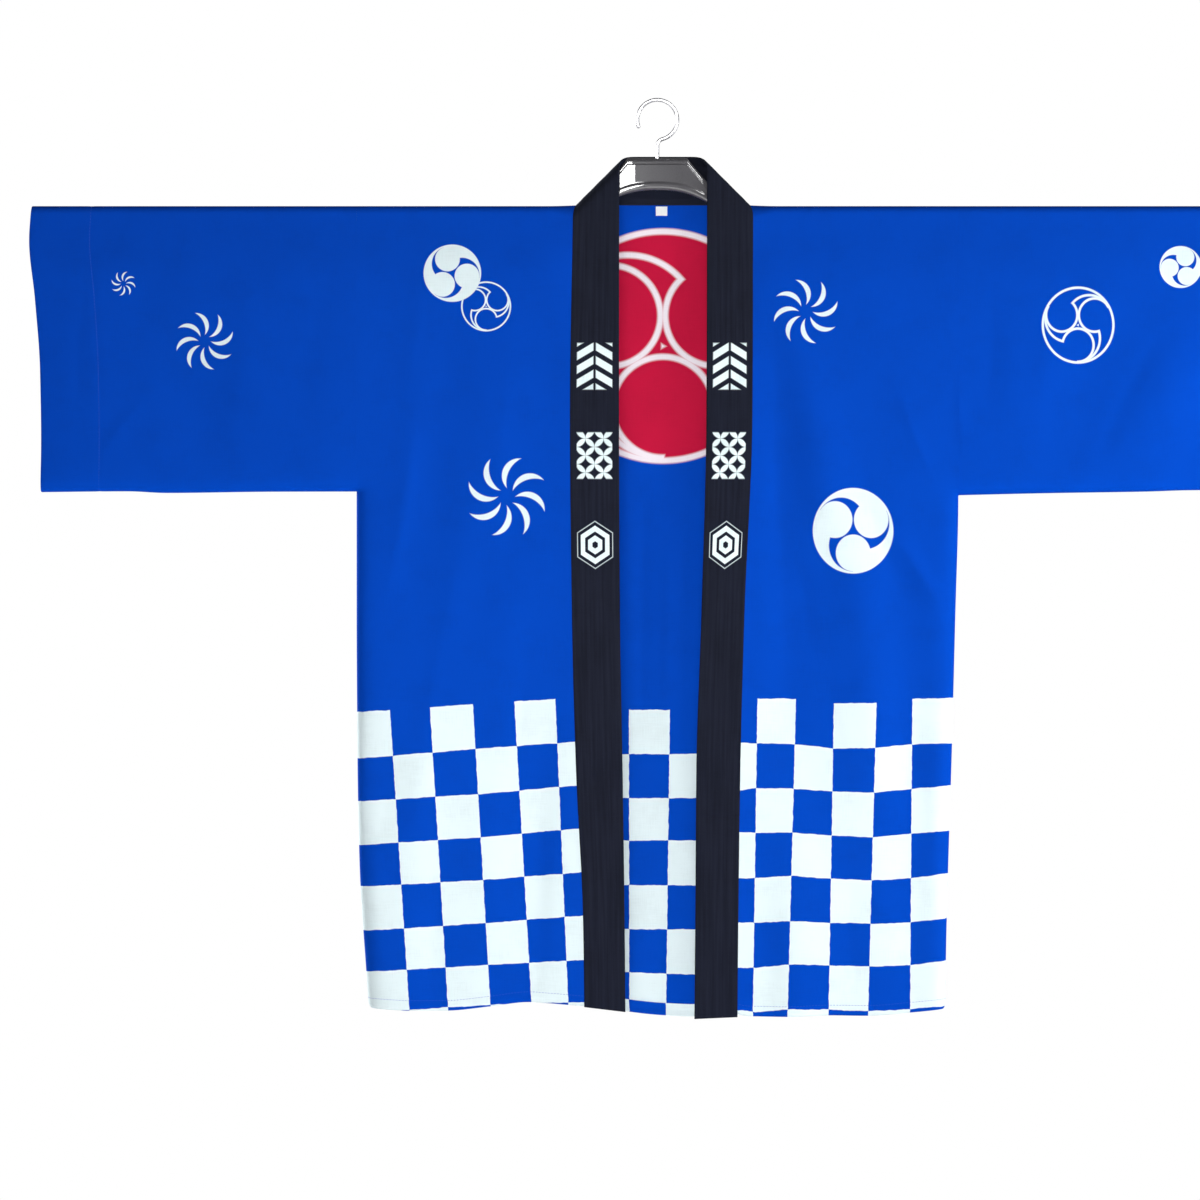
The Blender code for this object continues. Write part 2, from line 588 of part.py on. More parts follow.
def hanger_core():
    """The moulded arch, lofted from upright sections."""
    stations = np.array([-x for x in CORE_STATIONS[:0:-1]] + list(CORE_STATIONS), float)
    reach = np.abs(stations)
    flank = CORE_TOP - CORE_FLANK * (reach - CORE_FLAT)
    top = np.clip(flank, SPIGOT_HEIGHT + SPIGOT_RADIUS, CORE_TOP)
    foot = CORE_ARCH_TOP - CORE_ARCH_FALL * np.minimum(reach / CORE_ARCH_HALF, 1) ** CORE_ARCH_POWER
    fullness = 1 - CORE_THINNING * np.minimum(reach / THIN_FROM, 1) ** 2
    half = []
    for up, down, depth in CORE_PROFILE:
        height = foot + up if down is None else top - down
        half.append(np.stack([stations, -depth * fullness, height], -1))
    moulded = np.array(half + [row * (1, -1, 1) for row in half[::-1]])
    angle = np.radians(np.linspace(-SPIGOT_TURN, SPIGOT_TURN, len(half)))
    angle = np.concatenate([angle, angle[::-1]])
    side = np.repeat([-1, 1], len(half))
    round_y = side * SPIGOT_RADIUS * np.cos(angle)
    round_height = SPIGOT_HEIGHT + SPIGOT_RADIUS * np.sin(angle)
    spigot = np.stack(np.broadcast_arrays(stations, round_y[:, None], round_height[:, None]), -1)
    share = smooth_step((reach - SPIGOT_FROM) / (SPIGOT_BY - SPIGOT_FROM))[None, :, None]
    rings = (moulded * (1 - share) + spigot * share).transpose(1, 0, 2)

    count, ring = rings.shape[:2]
    index = np.arange(count * ring).reshape(count, ring)
    index = np.hstack([index, index[:, :1]])
    corners = [index[:-1, :-1], index[1:, :-1], index[1:, 1:], index[:-1, 1:]]
    faces = np.stack(corners, -1).reshape(-1, 4).tolist()
    faces += [index[0, :-1].tolist(), index[-1, :-1].tolist()]
    core = solid("hanger_core", rings.reshape(-1, 3), faces, DARK_PLASTIC, aside=0)
    core.data.set_sharp_from_angle(angle=SHARP)

    bottom = CORE_TOP - SHANK_IN_CORE - HOLE_SPARE
    length = CORE_TOP + DRILL_OVER - bottom
    drill = bar("hook_hole", WIRE_RADIUS + SHANK_CLEARANCE, length, HOLE_SIDES)
    drill.location = (0, 0, (bottom + length / 2 - HANG) * MM)
    drill.hide_render = True
    drill.display_type = "WIRE"
    cut = core.modifiers.new("hook hole", "BOOLEAN")
    cut.operation = "DIFFERENCE"
    cut.object = drill
    return core


def bar(name, radius, length, sides):
    """A round steel bar about its own origin, along Z."""
    mesh = bpy.data.meshes.new(name)
    work = bmesh.new()
    bmesh.ops.create_cone(
        work, cap_ends=True, segments=sides, radius1=radius * MM, radius2=radius * MM, depth=length * MM
    )
    work.to_mesh(mesh)
    work.free()
    thing = bpy.data.objects.new(name, mesh)
    bpy.context.collection.objects.link(thing)
    mesh.materials.append(finish(name, STEEL))
    mesh.shade_smooth()
    mesh.set_sharp_from_angle(angle=SHARP)
    return thing


def hanger_arm(side, sign):
    length = ARM_END - ARM_START
    arm = bar(f"hanger_arm_{side}", ARM_RADIUS, length, ARM_SIDES)
    arm.rotation_euler = (0, HALF_TURN, 0)
    arm.location = (sign * (ARM_START + length / 2) * MM, 0, (ARM_HEIGHT - HANG) * MM)
    rounding = arm.modifiers.new("rounded ends", "BEVEL")
    rounding.width = ARM_CHAMFER * MM
    rounding.segments = 2
    rounding.limit_method = "ANGLE"
    rounding.angle_limit = math.radians(60)
    return arm


def hanger_hook():
    """A wire bow over the bearing point, an opposite bend and a straight shank."""
    radius = BOW_INNER_RADIUS + WIRE_RADIUS
    bow = np.radians(np.linspace(BOW_TIP_ANGLE, BOW_FOOT_ANGLE, BOW_POINTS))
    bow_x = radius * np.cos(bow)
    bow_z = radius * np.sin(bow) - BOW_INNER_RADIUS
    lean = math.radians(-BOW_FOOT_ANGLE)
    bend = bow_x[-1] / (1 - math.cos(lean))
    left = spread(lean, 0, BEND_POINTS)
    bend_x = bend * (1 - np.cos(left))
    bend_z = bow_z[-1] - bend * (math.sin(lean) - np.sin(left))
    foot = CORE_TOP - SHANK_IN_CORE - HANG
    shank_z = spread(bend_z[-1], foot, SHANK_POINTS)
    path_x = np.concatenate([bow_x, bend_x, np.zeros(SHANK_POINTS)])
    path_z = np.concatenate([bow_z, bend_z, shank_z])

    curve = bpy.data.curves.new("hanger_hook", "CURVE")
    curve.dimensions = "3D"
    curve.bevel_depth = WIRE_RADIUS * MM
    curve.bevel_resolution = 2
    curve.use_fill_caps = True
    spline = curve.splines.new("POLY")
    spline.points.add(len(path_x) - 1)
    for point, x, z in zip(spline.points, path_x, path_z):
        point.co = (x * MM, 0, z * MM, 1)
    hook = bpy.data.objects.new("hanger_hook", curve)
    bpy.context.collection.objects.link(hook)
    curve.materials.append(finish("hanger_hook", STEEL))
    return hook


for side, sign in SIDES:
    front_panel(side, sign)
    sleeve(side, sign)
    collar_front(side, sign)
    collar_end(side, sign)
    hanger_arm(side, sign)
back_panel()
collar_neck()
neck_label()
hanger_core()
hanger_hook()
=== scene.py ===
"""A happi coat on a straight kimono hanger, dressed over its solid parts.

Sizes are in millimetres until a mesh is made. x runs to the wearer's left, y from the
front of the coat to its back, and heights are counted from the shoulder line. The origin
of the finished piece is where the hook bears on its rail, HANG above the shoulder line
and ASIDE from the coat's middle line.
"""

import math

import bpy
import numpy as np
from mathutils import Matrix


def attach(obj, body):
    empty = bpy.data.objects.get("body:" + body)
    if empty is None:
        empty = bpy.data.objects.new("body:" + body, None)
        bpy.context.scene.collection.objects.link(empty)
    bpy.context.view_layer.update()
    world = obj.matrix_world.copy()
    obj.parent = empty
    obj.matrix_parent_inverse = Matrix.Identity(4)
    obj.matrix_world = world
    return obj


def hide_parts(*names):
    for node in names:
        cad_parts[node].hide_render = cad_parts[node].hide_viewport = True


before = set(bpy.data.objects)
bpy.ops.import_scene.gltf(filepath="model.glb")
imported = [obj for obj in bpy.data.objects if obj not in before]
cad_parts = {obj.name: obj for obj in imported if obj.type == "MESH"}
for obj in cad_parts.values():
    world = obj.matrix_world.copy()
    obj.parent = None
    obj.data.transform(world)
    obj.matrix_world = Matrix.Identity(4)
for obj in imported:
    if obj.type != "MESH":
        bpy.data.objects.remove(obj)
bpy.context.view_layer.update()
scene = bpy.context.scene
MM = 0.001

# ---------------------------------------------------------------------------------------
# Camera. A long lens, level and square to the front of the coat, five metres away.

WATCHED = (-0.06015, -0.5232)  # x and z of the middle of the frame, in metres
FRAME_WIDTH = 1.26
CAMERA_AWAY = 5.0


def added(name, data):
    """A new object in the scene that shows this mesh, light or camera."""
    made = bpy.data.objects.new(name, data)
    scene.collection.objects.link(made)
    return made


lens = bpy.data.cameras.new("camera")
lens.sensor_width = 36.0
lens.lens = lens.sensor_width * CAMERA_AWAY / FRAME_WIDTH
lens.clip_end = 60.0
scene.camera = added("camera", lens)
scene.camera.location = (WATCHED[0], -CAMERA_AWAY, WATCHED[1])
scene.camera.rotation_euler = (math.pi / 2, 0, 0)
scene.view_settings.view_transform = "Standard"

# ---------------------------------------------------------------------------------------
# Stage. A pale floor well under the hem and a white room. Softboxes stand before the coat,
# behind it and far out to its left, from where one rakes over the folds. The last two show
# only in the hanger's gloss.

FLOOR_Z, FLOOR_HALF = -1.8, 4.5
ROOM_SEEN, ROOM_LIGHT = 1.0, 0.21  # brightness to the eye, and as light that falls on things

corners = [(x * FLOOR_HALF, y * FLOOR_HALF, 0) for x, y in ((-1, -1), (1, -1), (1, 1), (-1, 1))]
floor_mesh = bpy.data.meshes.new("floor")
floor_mesh.from_pydata(corners, [], [(0, 1, 2, 3)])
floor = added("floor", floor_mesh)
floor.location.z = FLOOR_Z
pale = bpy.data.materials.new("pale_floor")
pale.use_nodes = True
pale_shader = pale.node_tree.nodes["Principled BSDF"]
pale_shader.inputs["Base Color"].default_value = (0.9, 0.9, 0.9, 1)
pale_shader.inputs["Roughness"].default_value = 0.9
floor_mesh.materials.append(pale)

room = bpy.data.worlds.new("white room")
room.use_nodes = True
nodes, links = room.node_tree.nodes, room.node_tree.links
seen_ray = nodes.new("ShaderNodeLightPath")
strength = nodes.new("ShaderNodeMapRange")
strength.inputs["To Min"].default_value = ROOM_LIGHT
strength.inputs["To Max"].default_value = ROOM_SEEN
links.new(seen_ray.outputs["Is Camera Ray"], strength.inputs["Value"])
links.new(strength.outputs["Result"], nodes["Background"].inputs["Strength"])
nodes["Background"].inputs["Color"].default_value = (1, 1, 1, 1)
scene.world = room


def soft_light(name, place, aim, size, watts, diffuse=True, shadow=True):
    """A rectangular softbox at place, turned towards aim."""
    data = bpy.data.lights.new(name, "AREA")
    data.shape = "RECTANGLE"
    data.size, data.size_y = size
    data.energy = watts
    data.use_shadow = shadow
    light = added(name, data)
    light.location = place
    direction = [to - at for to, at in zip(aim, place)]
    pitch = math.atan2(math.hypot(direction[0], direction[1]), -direction[2])
    light.rotation_euler = (pitch, 0, math.atan2(-direction[0], direction[1]))
    light.visible_camera = False
    light.visible_diffuse = diffuse


soft_light("key", (-0.15, -1.0, -0.63), (-0.15, 0.0, -0.63), (0.7, 0.7), 4.5)
soft_light("low", (-0.35, -1.85, -1.75), (-0.05, 0.0, -0.55), (1.5, 1.5), 7)
soft_light("rake", (5.0, -2.7, -1.2), (0.0, 0.0, -0.5), (1.0, 1.0), 182, shadow=False)
soft_light("side", (1.1, -0.55, -0.45), (0.5, 0.0, -0.45), (0.5, 0.5), 4.3)
soft_light("behind", (-3.3, 2.6, 0.5), (0.0, 0.0, -0.5), (1.6, 1.6), 230)
soft_light("hanger glance", (-0.6, -3.0, 0.3), (-0.6, 0.0, 0.3), (0.66, 2.2), 170, diffuse=False)
soft_light("hanger edge", (2.35, -3.3, 1.85), (0.03, 0.0, -0.07), (1.3, 1.3), 200, diffuse=False)

# ---------------------------------------------------------------------------------------
# Cotton. Plain-woven sheeting, dyed blue and printed. The weave, the prints and their
# ragged ink edges are kept as node groups that each cloth piece places for itself.

BLUE = (0.0, 0.0545, 0.456, 1)
WHITE = (0.715, 0.825, 0.85, 1)
RED = (0.52, 0.008, 0.045, 1)
PINKISH = (0.86, 0.78, 0.84, 1)
BLACK, BLACK_RUBBED = (0.005, 0.0065, 0.0145, 1), (0.0085, 0.0105, 0.0215, 1)
THREADS = 0.00042  # spacing of the threads, in metres
# How uneven a cloth's dye is, then its threads' height in metres and how strongly they show.
BLUE_WEAVE, BLACK_WEAVE = (0.07, 0.00008, 0.5), (0.2, 0.00012, 0.6)
SLUB_FINE, SLUB_LONG, CLOUDS = 900.0, 60.0, 26.0  # rates of uneven thread and dye, a metre
INK_EDGE = 0.02  # softness of a printed edge, as a share of the motif's radius
INK_RAGGED = 0.05  # how far the border's printed edge wanders, as a share of a check
LINE_ON_ROUNDEL, LINE_ON_MOTIF = 0.05, 0.062  # a printed line's width, as a share of the radius


class Net:
    """Lays nodes in a tree. A method adds the nodes for one step and gives back their result."""

    def __init__(self, tree):
        self.tree = tree

    def node(self, kind, out, inputs, **settings):
        made = self.tree.nodes.new("ShaderNode" + kind)
        made.location = (len(self.tree.nodes) * 30, 0)
        for name, value in settings.items():
            setattr(made, name, value)
        for name, value in inputs.items():
            self.feed(made.inputs[name], value)
        return made.outputs[out]

    def feed(self, socket, value):
        """Links a socket to what another puts out, or sets its own value."""
        if isinstance(value, bpy.types.NodeSocket):
            self.tree.links.new(value, socket)
        else:
            socket.default_value = value

    def math(self, operation, *values):
        return self.node("Math", 0, dict(enumerate(values)), operation=operation)

    def vector(self, operation, *values):
        out = "Value" if operation in ("LENGTH", "DISTANCE", "DOT_PRODUCT") else "Vector"
        return self.node("VectorMath", out, dict(enumerate(values)), operation=operation)

    def split(self, vector):
        made = self.tree.nodes.new("ShaderNodeSeparateXYZ")
        self.tree.links.new(vector, made.inputs[0])
        return made.outputs

    def join(self, x, y, z=0.0):
        return self.node("CombineXYZ", 0, {"X": x, "Y": y, "Z": z})

    def inked(self, inside, softness=INK_EDGE):
        """1 where inside is positive, with a soft step of that width."""
        return self.spread(inside, -softness / 2, softness / 2)

    def mix(self, share, first, second):
        values = {0: share, 6: first, 7: second}
        return self.node("Mix", 2, values, data_type="RGBA")

    def spread(self, value, low, high, to_low=0.0, to_high=1.0):
        """value carried from one range to another and held at both ends."""
        values = {"Value": value, "From Min": low, "From Max": high, "To Min": to_low, "To Max": to_high}
        return self.node("MapRange", "Result", values)

    def noise(self, where, scale=1.0, detail=2.0, out=0):
        return self.node("TexNoise", out, {"Vector": where, "Scale": scale, "Detail": detail})

    def stretched(self, where, *scale):
        return self.node("Mapping", 0, {"Vector": where, "Scale": scale})

    def bump(self, height, distance, strength):
        return self.node("Bump", 0, {"Height": height, "Distance": distance, "Strength": strength})

    def own_place(self):
        return self.node("TexCoord", "Object", {})

    def uv(self, name):
        return self.node("UVMap", 0, {}, uv_map=name)

    def within(self, point, centre, radius):
        """How far point lies inside a circle."""
        away = self.vector("DISTANCE", point, (*centre, 0.0))
        return self.math("SUBTRACT", radius, away)

    def beside(self, point, x_share, y_share, constant):
        """How far point lies on the inner side of a straight line."""
        parts = self.split(point)
        from_x = self.math("MULTIPLY_ADD", parts[0], x_share, constant)
        return self.math("MULTIPLY_ADD", parts[1], y_share, from_x)

    def banded(self, value, rate, middle, half):
        """How far value lies inside bands that come rate times in each unit."""
        phase = self.math("FRACT", self.math("MULTIPLY", value, rate))
        off = self.math("ABSOLUTE", self.math("SUBTRACT", phase, middle))
        return self.math("SUBTRACT", half, off)

    def all_of(self, *values):
        """The least of the values, which is positive only where all of them are."""
        least = values[0]
        for value in values[1:]:
            least = self.math("MINIMUM", least, value)
        return least


def group(name, inputs, outputs):
    """An empty node group with named sockets: its net, its inputs and its outputs."""
    tree = bpy.data.node_groups.new(name, "ShaderNodeTree")
    for socket, kind in inputs:
        tree.interface.new_socket(socket, in_out="INPUT", socket_type="NodeSocket" + kind)
    for socket, kind in outputs:
        tree.interface.new_socket(socket, in_out="OUTPUT", socket_type="NodeSocket" + kind)
    entry = tree.nodes.new("NodeGroupInput")
    exit_node = tree.nodes.new("NodeGroupOutput")
    return Net(tree), entry.outputs, exit_node.inputs


def placed(net, tree, **inputs):
    """Everything that a group puts out, from a place of its own in the net."""
    made = net.tree.nodes.new("ShaderNodeGroup")
    made.node_tree = tree
    for name, value in inputs.items():
        net.feed(made.inputs[name], value)
    return made.outputs


def weave_group():
    """Height of a plain weave over a cut panel's own metres, and its uneven dye."""
    net, given, put = group(
        "plain weave", [("Cut", "Vector"), ("Spacing", "Float")], [("Height", "Float"), ("Dye", "Float")]
    )
    parts = net.split(given["Cut"])
    turn = net.math("DIVIDE", math.pi, given["Spacing"])
    warp = net.math("SINE", net.math("MULTIPLY", parts[0], turn))
    weft = net.math("SINE", net.math("MULTIPLY", parts[1], turn))
    over = net.math("MULTIPLY", warp, weft)
    streak = net.noise(net.stretched(given["Cut"], SLUB_FINE, SLUB_LONG, 1.0))
    bar = net.noise(net.stretched(given["Cut"], SLUB_LONG, SLUB_FINE, 1.0))
    both = net.math("ADD", streak, bar)
    crumple = net.noise(given["Cut"], CLOUDS, 3.0)
    net.feed(put["Height"], net.math("ADD", net.math("MULTIPLY", over, 0.5), both))
    cloudy = net.math("ADD", net.math("MULTIPLY", both, 0.35), net.math("MULTIPLY", crumple, 0.65))
    net.feed(put["Dye"], cloudy)
    return net.tree


def checks_group():
    """The check border: squares of a column-and-row grid, from its row 0 downwards."""
    net, given, put = group("check border", [("Grid", "Vector")], [("Ink", "Float")])
    ragged = net.vector("SUBTRACT", net.noise(given["Grid"], 5.0, 4.0, "Color"), (0.5, 0.5, 0.5))
    shift = net.vector("MULTIPLY", ragged, (INK_RAGGED, INK_RAGGED, 0.0))
    parts = net.split(net.vector("ADD", given["Grid"], shift))
    count = net.math("ADD", net.math("FLOOR", parts[0]), net.math("FLOOR", parts[1]))
    odd = net.math("MULTIPLY", net.math("FRACT", net.math("MULTIPLY", count, 0.5)), 2.0)
    even = net.math("SUBTRACT", 1.0, odd)
    started = net.math("GREATER_THAN", parts[1], 0.0)
    net.feed(put["Ink"], net.math("MULTIPLY", even, started))
    return net.tree


def circle_through(first, second, third):
    """Centre and radius of the circle through three points."""
    points = np.array([first, second, third], float)
    rows = 2 * (points[1:] - points[0])
    sums = (points[1:] ** 2).sum(1) - (points[0] ** 2).sum()
    centre = np.linalg.solve(rows, sums)
    return tuple(centre), float(np.linalg.norm(points[0] - centre))


def folded_point(net, place, start, sector):
    """place turned round the motif's centre into the sector that begins at start."""
    parts = net.split(place)
    away = net.vector("LENGTH", net.join(parts[0], parts[2]))
    angle = net.math("ARCTAN2", parts[2], parts[0])
    turns = net.math("FLOOR", net.math("DIVIDE", net.math("SUBTRACT", angle, start), sector))
    inside = net.math("SUBTRACT", angle, net.math("MULTIPLY", turns, sector))
    x = net.math("MULTIPLY", away, net.math("COSINE", inside))
    y = net.math("MULTIPLY", away, net.math("SINE", inside))
    return net.join(x, y)


ARMS_OF_SWIRL, SWIRL_TURN = 8, math.radians(66)
# An arm of the swirl: its root and tip, and a point on its full side and on its hollow one.
ARM_ROOT, ARM_TIP, ARM_FULL, ARM_HOLLOW = (0.013, 0.217), (-0.307, 0.933), (0.14, 0.51), (0.013, 0.50)


def swirl_group():
    """Eight crescents that whirl round a bare centre, in a circle of radius 1."""
    net, given, put = group("swirl", [("Place", "Vector")], [("Ink", "Float")])
    point = folded_point(net, given["Place"], SWIRL_TURN, 2 * math.pi / ARMS_OF_SWIRL)
    outer = circle_through(ARM_ROOT, ARM_FULL, ARM_TIP)
    inner = circle_through(ARM_ROOT, ARM_HOLLOW, ARM_TIP)
    body = net.all_of(net.within(point, *outer), net.math("MULTIPLY", net.within(point, *inner), -1.0))
    net.feed(put["Ink"], net.inked(body))
    return net.tree


# Three commas: middle and radius of a head and of a gap's circle, then the two straight
# lines that cut the gap off, each as its share of x, its share of y and its constant.
HEAD, GAP_CIRCLE = ((0.0, -0.52), 0.43), ((-0.30, 0.1685), 0.607)
GAP_BEHIND, GAP_AHEAD = (0.521, 0.854, 0.0124), (-0.5, 0.866, 0.1)
OUTSIDE = -9.0  # further out than any point of a motif


def commas_group():
    """Three commas chasing round a circle of radius 1: their filled shapes and outlines.

    Three round heads touch at the middle. What parts a head from the next one's tail is
    a gap, the same three times round: the inside of a large circle, cut off by the line
    from that circle's middle to the head's and by a line just under the next head.
    """
    net, given, put = group(
        "three commas",
        [("Place", "Vector"), ("Line", "Float")],
        [("Filled", "Float"), ("Outline", "Float")],
    )
    parts = net.split(given["Place"])
    flat = net.join(parts[0], parts[2])
    gap = heads = OUTSIDE
    for third in range(3):
        values = {"Vector": flat, "Angle": math.radians(120 * third)}
        point = net.node("VectorRotate", 0, values, rotation_type="Z_AXIS")
        heads = net.math("MAXIMUM", heads, net.within(point, *HEAD))
        behind, ahead = net.beside(point, *GAP_BEHIND), net.beside(point, *GAP_AHEAD)
        one = net.all_of(net.within(point, *GAP_CIRCLE), behind, ahead)
        gap = net.math("MAXIMUM", one, gap)
    gap = net.all_of(gap, net.math("MULTIPLY", heads, -1.0))
    disc = net.math("SUBTRACT", 1.0, net.vector("LENGTH", flat))
    filled = net.all_of(disc, net.math("MULTIPLY", gap, -1.0))
    net.feed(put["Filled"], net.inked(filled))
    half = net.math("MULTIPLY", given["Line"], 0.5)
    lines = net.math("SUBTRACT", half, net.math("ABSOLUTE", gap))
    ring = net.math("SUBTRACT", half, net.math("ABSOLUTE", net.math("SUBTRACT", disc, half)))
    net.feed(put["Outline"], net.inked(net.math("MAXIMUM", lines, ring)))
    return net.tree


WEAVE, CHECKS, SWIRL, COMMAS = weave_group(), checks_group(), swirl_group(), commas_group()

# Motifs on each panel. Columns: kind, x, height, radius across, radius up, turn in degrees.
# A negative radius across mirrors the motif.
MOTIFS = {
    "front_right": (
        ("swirl", -163.8, -305.0, -43.0, 43.5, -2.5),
        ("outlined", -185.4, -105.7, 26.2, 26.2, 0),
        ("filled", -220.8, -70.9, -30.1, 30.1, -41),
    ),
    "front_left": (
        ("swirl", 149.3, -111.1, 35.2, 35.2, -1),
        ("filled", 198.8, -340.7, 42.1, 44.8, 0),
    ),
    "sleeve_right": (
        ("swirl", -480.4, -142.0, 31.5, 31.5, 0),
        ("swirl", -565.5, -81.7, -13.2, 13.2, 0),
    ),
    "sleeve_left": (
        ("outlined", 434.7, -125.2, -38.3, 40.4, 0),
        ("filled", 542.1, -64.3, 22.0, 22.0, 34),
    ),
    "back": (),
}
ROUNDEL = (0.0, -146.0, 123.5, 123.5, 0)  # the large crest on the back, the same columns
HANG, ASIDE = 110.0, 6.0  # the hook's bow over the shoulder line, and the coat off the hook's line


def motif_place(net, coordinates, x, height, across, up, turn):
    """The coordinates as seen from a motif's own centre, in its radii."""
    values = {
        "Vector": coordinates,
        "Location": ((x + ASIDE) * MM, 0.0, (height - HANG) * MM),
        "Rotation": (0.0, -math.radians(turn), 0.0),
        "Scale": (across * MM, 1.0, up * MM),
    }
    return net.node("Mapping", 0, values, vector_type="TEXTURE")


def round_inside(net, place):
    """How far a point lies inside a motif's circle of radius 1."""
    away = net.vector("LENGTH", net.vector("MULTIPLY", place, (1.0, 0.0, 1.0)))
    return net.math("SUBTRACT", 1.0, away)


def shaded(name, **constants):
    """A new material, its shader's inputs and its net. Names take _ where the sockets have a space."""
    material = bpy.data.materials.new(name)
    material.use_nodes = True
    inputs = material.node_tree.nodes["Principled BSDF"].inputs
    for socket, value in constants.items():
        inputs[socket.replace("_", " ")].default_value = value
    return material, inputs, Net(material.node_tree)


def cloth_shader(name, roughness=0.82, specular=0.015, sheen=0.008):
    return shaded(
        name, Roughness=roughness, Specular_IOR_Level=specular, Sheen_Weight=sheen,
        Sheen_Roughness=0.6, Sheen_Tint=(0.3, 0.5, 1.0, 1),
    )


def dyed_and_woven(net, inputs, colour, weave, unevenness, depth, strength):
    """Sends a cloth's colour, uneven by its weave's dye, and its threads' relief to the shader."""
    level = net.spread(weave["Dye"], 0.3, 0.7, 1 - unevenness, 1 + unevenness)
    uneven = net.node("VectorMath", 0, {0: colour, "Scale": level}, operation="SCALE")
    net.feed(inputs["Base Color"], uneven)
    net.feed(inputs["Normal"], net.bump(weave["Height"], depth, strength))


def printed_cotton(panel):
    """The blue cloth of one panel with its motifs and, where it has one, its check border."""
    material, inputs, net = cloth_shader("cotton_" + panel)
    weave = placed(net, WEAVE, Cut=net.uv("Cut"), Spacing=THREADS)
    where = net.own_place()
    colour = net.mix(0.0, BLUE, BLUE)
    if panel == "back":
        place = motif_place(net, where, *ROUNDEL)
        colour = net.mix(net.inked(round_inside(net, place)), colour, RED)
        lines = placed(net, COMMAS, Place=place, Line=LINE_ON_ROUNDEL)["Outline"]
        colour = net.mix(lines, colour, PINKISH)
    for kind, *values in MOTIFS[panel]:
        place = motif_place(net, where, *values)
        if kind == "swirl":
            ink = placed(net, SWIRL, Place=place)["Ink"]
        elif kind == "filled":
            ink = placed(net, COMMAS, Place=place)["Filled"]
            colour = net.mix(net.inked(round_inside(net, place)), colour, BLUE)
        else:
            ink = placed(net, COMMAS, Place=place, Line=LINE_ON_MOTIF)["Outline"]
        if panel.startswith("sleeve"):
            in_front = net.math("LESS_THAN", net.split(where)[1], 0.0)
            ink = net.math("MULTIPLY", ink, in_front)
        colour = net.mix(ink, colour, WHITE)
    if not panel.startswith("sleeve"):
        ink = placed(net, CHECKS, Grid=net.uv("Checks"))["Ink"]
        colour = net.mix(ink, colour, WHITE)
    dyed_and_woven(net, inputs, colour, weave, *BLUE_WEAVE)
    return material


# ---------------------------------------------------------------------------------------
# The back. One width of printed cotton from the shoulder line to the turned-up hem. Its
# neck edge runs nearly level under the collar strip, and its sides turn in to the seams.

CLOTH = 0.7  # the cotton itself, which lies on the middle of the solid's wall
SEAM = 0.3  # gap between panels
ARM_RADIUS, ARM_CLEARANCE, HALF_WALL = 7.5, 0.5, 0.6
SHOULDER_ROLL = ARM_RADIUS + ARM_CLEARANCE + HALF_WALL  # the cloth's turn over the arm
BODY_DEPTH, SLEEVE_DEPTH = 13.0, 11.0  # from the middle plane to the cloth, lower down
PARTING = 70.0  # height over which front and back part to that depth
CUFF_FROM, CUFF_BY = 330.0, 620.0  # reach from which a sleeve thins, and by which it has
EDGE_ROLL, EDGE_POWER = 28.0, 3.0  # how wide and how full a panel turns in to its seam
ROLL_STEPS, NECK_STEPS = 9, 12  # rows of a turned edge, and columns round the neck's turn
PITCH = 4.0  # spacing of the cloth's points
HEM_PITCH, HEM_FINE = 2.0, 24.0  # closer spacing at a hem, and how far it goes
BLEND_PITCH = 2.6  # spacing where a front's edge bends in to the strip
HEM_DEPTH, HEM_GAP = 12.0, 1.15  # what is turned up, and how far inside the wall it lies
HEM_STITCH = 10.5  # height of the stitches over the hem
HEM_ROWS, FOLD_ROWS = int(HEM_DEPTH / HEM_PITCH) + 1, 5  # rows turned up, and round the fold
GROOVE, GROOVE_HALF = 0.28, 1.7  # how deep stitches draw the cloth in, and over what half width
HEM_CURL, CURL_HEIGHT = 1.8, 6.0  # how far a hem's fold leans in, over its last height

BAND_WIDTH, BAND, BAND_DEPTH = 48.5, 2.4, 14.0  # the strip, and how far in front it hangs
TUCK = 1.5  # how far a panel's edge stands inside the doubled strip
SINK_FROM, SINK_BY = -25.0, -175.0  # heights between which the strip comes to that depth
NECK_HALF = 94.5  # from the middle to the strip's sewn edge, at the shoulder
NECK_RISE, NECK_ROLL = 4.6, 10.0  # how high the strip lies behind the neck, and its turn's radius
JOIN, SLANT_FROM = -640.0, -95.0  # heights of the strip's join seam, and where its rows slant
NECK_BLEND = 26.0  # how far out a panel is drawn to the strip
NECK_TURN_FOOT, NECK_FADE = 24.0, 30.0  # and how far down, in front and on the back
CREST_CLEARANCE, CREST_SPREAD = 0.9, 12.0  # room between a panel's edge and the strip's turn
HALF_TURN = math.pi / 2
ROLL_AXIS = (NECK_RISE * math.sqrt(2) - math.pi * NECK_ROLL) / 2  # out from the fold's corner
CREST_FLAT = math.sqrt(2) * (ROLL_AXIS + HALF_TURN * NECK_ROLL)  # the turn's top, up the strip
SIDES = (("right", -1), ("left", 1))

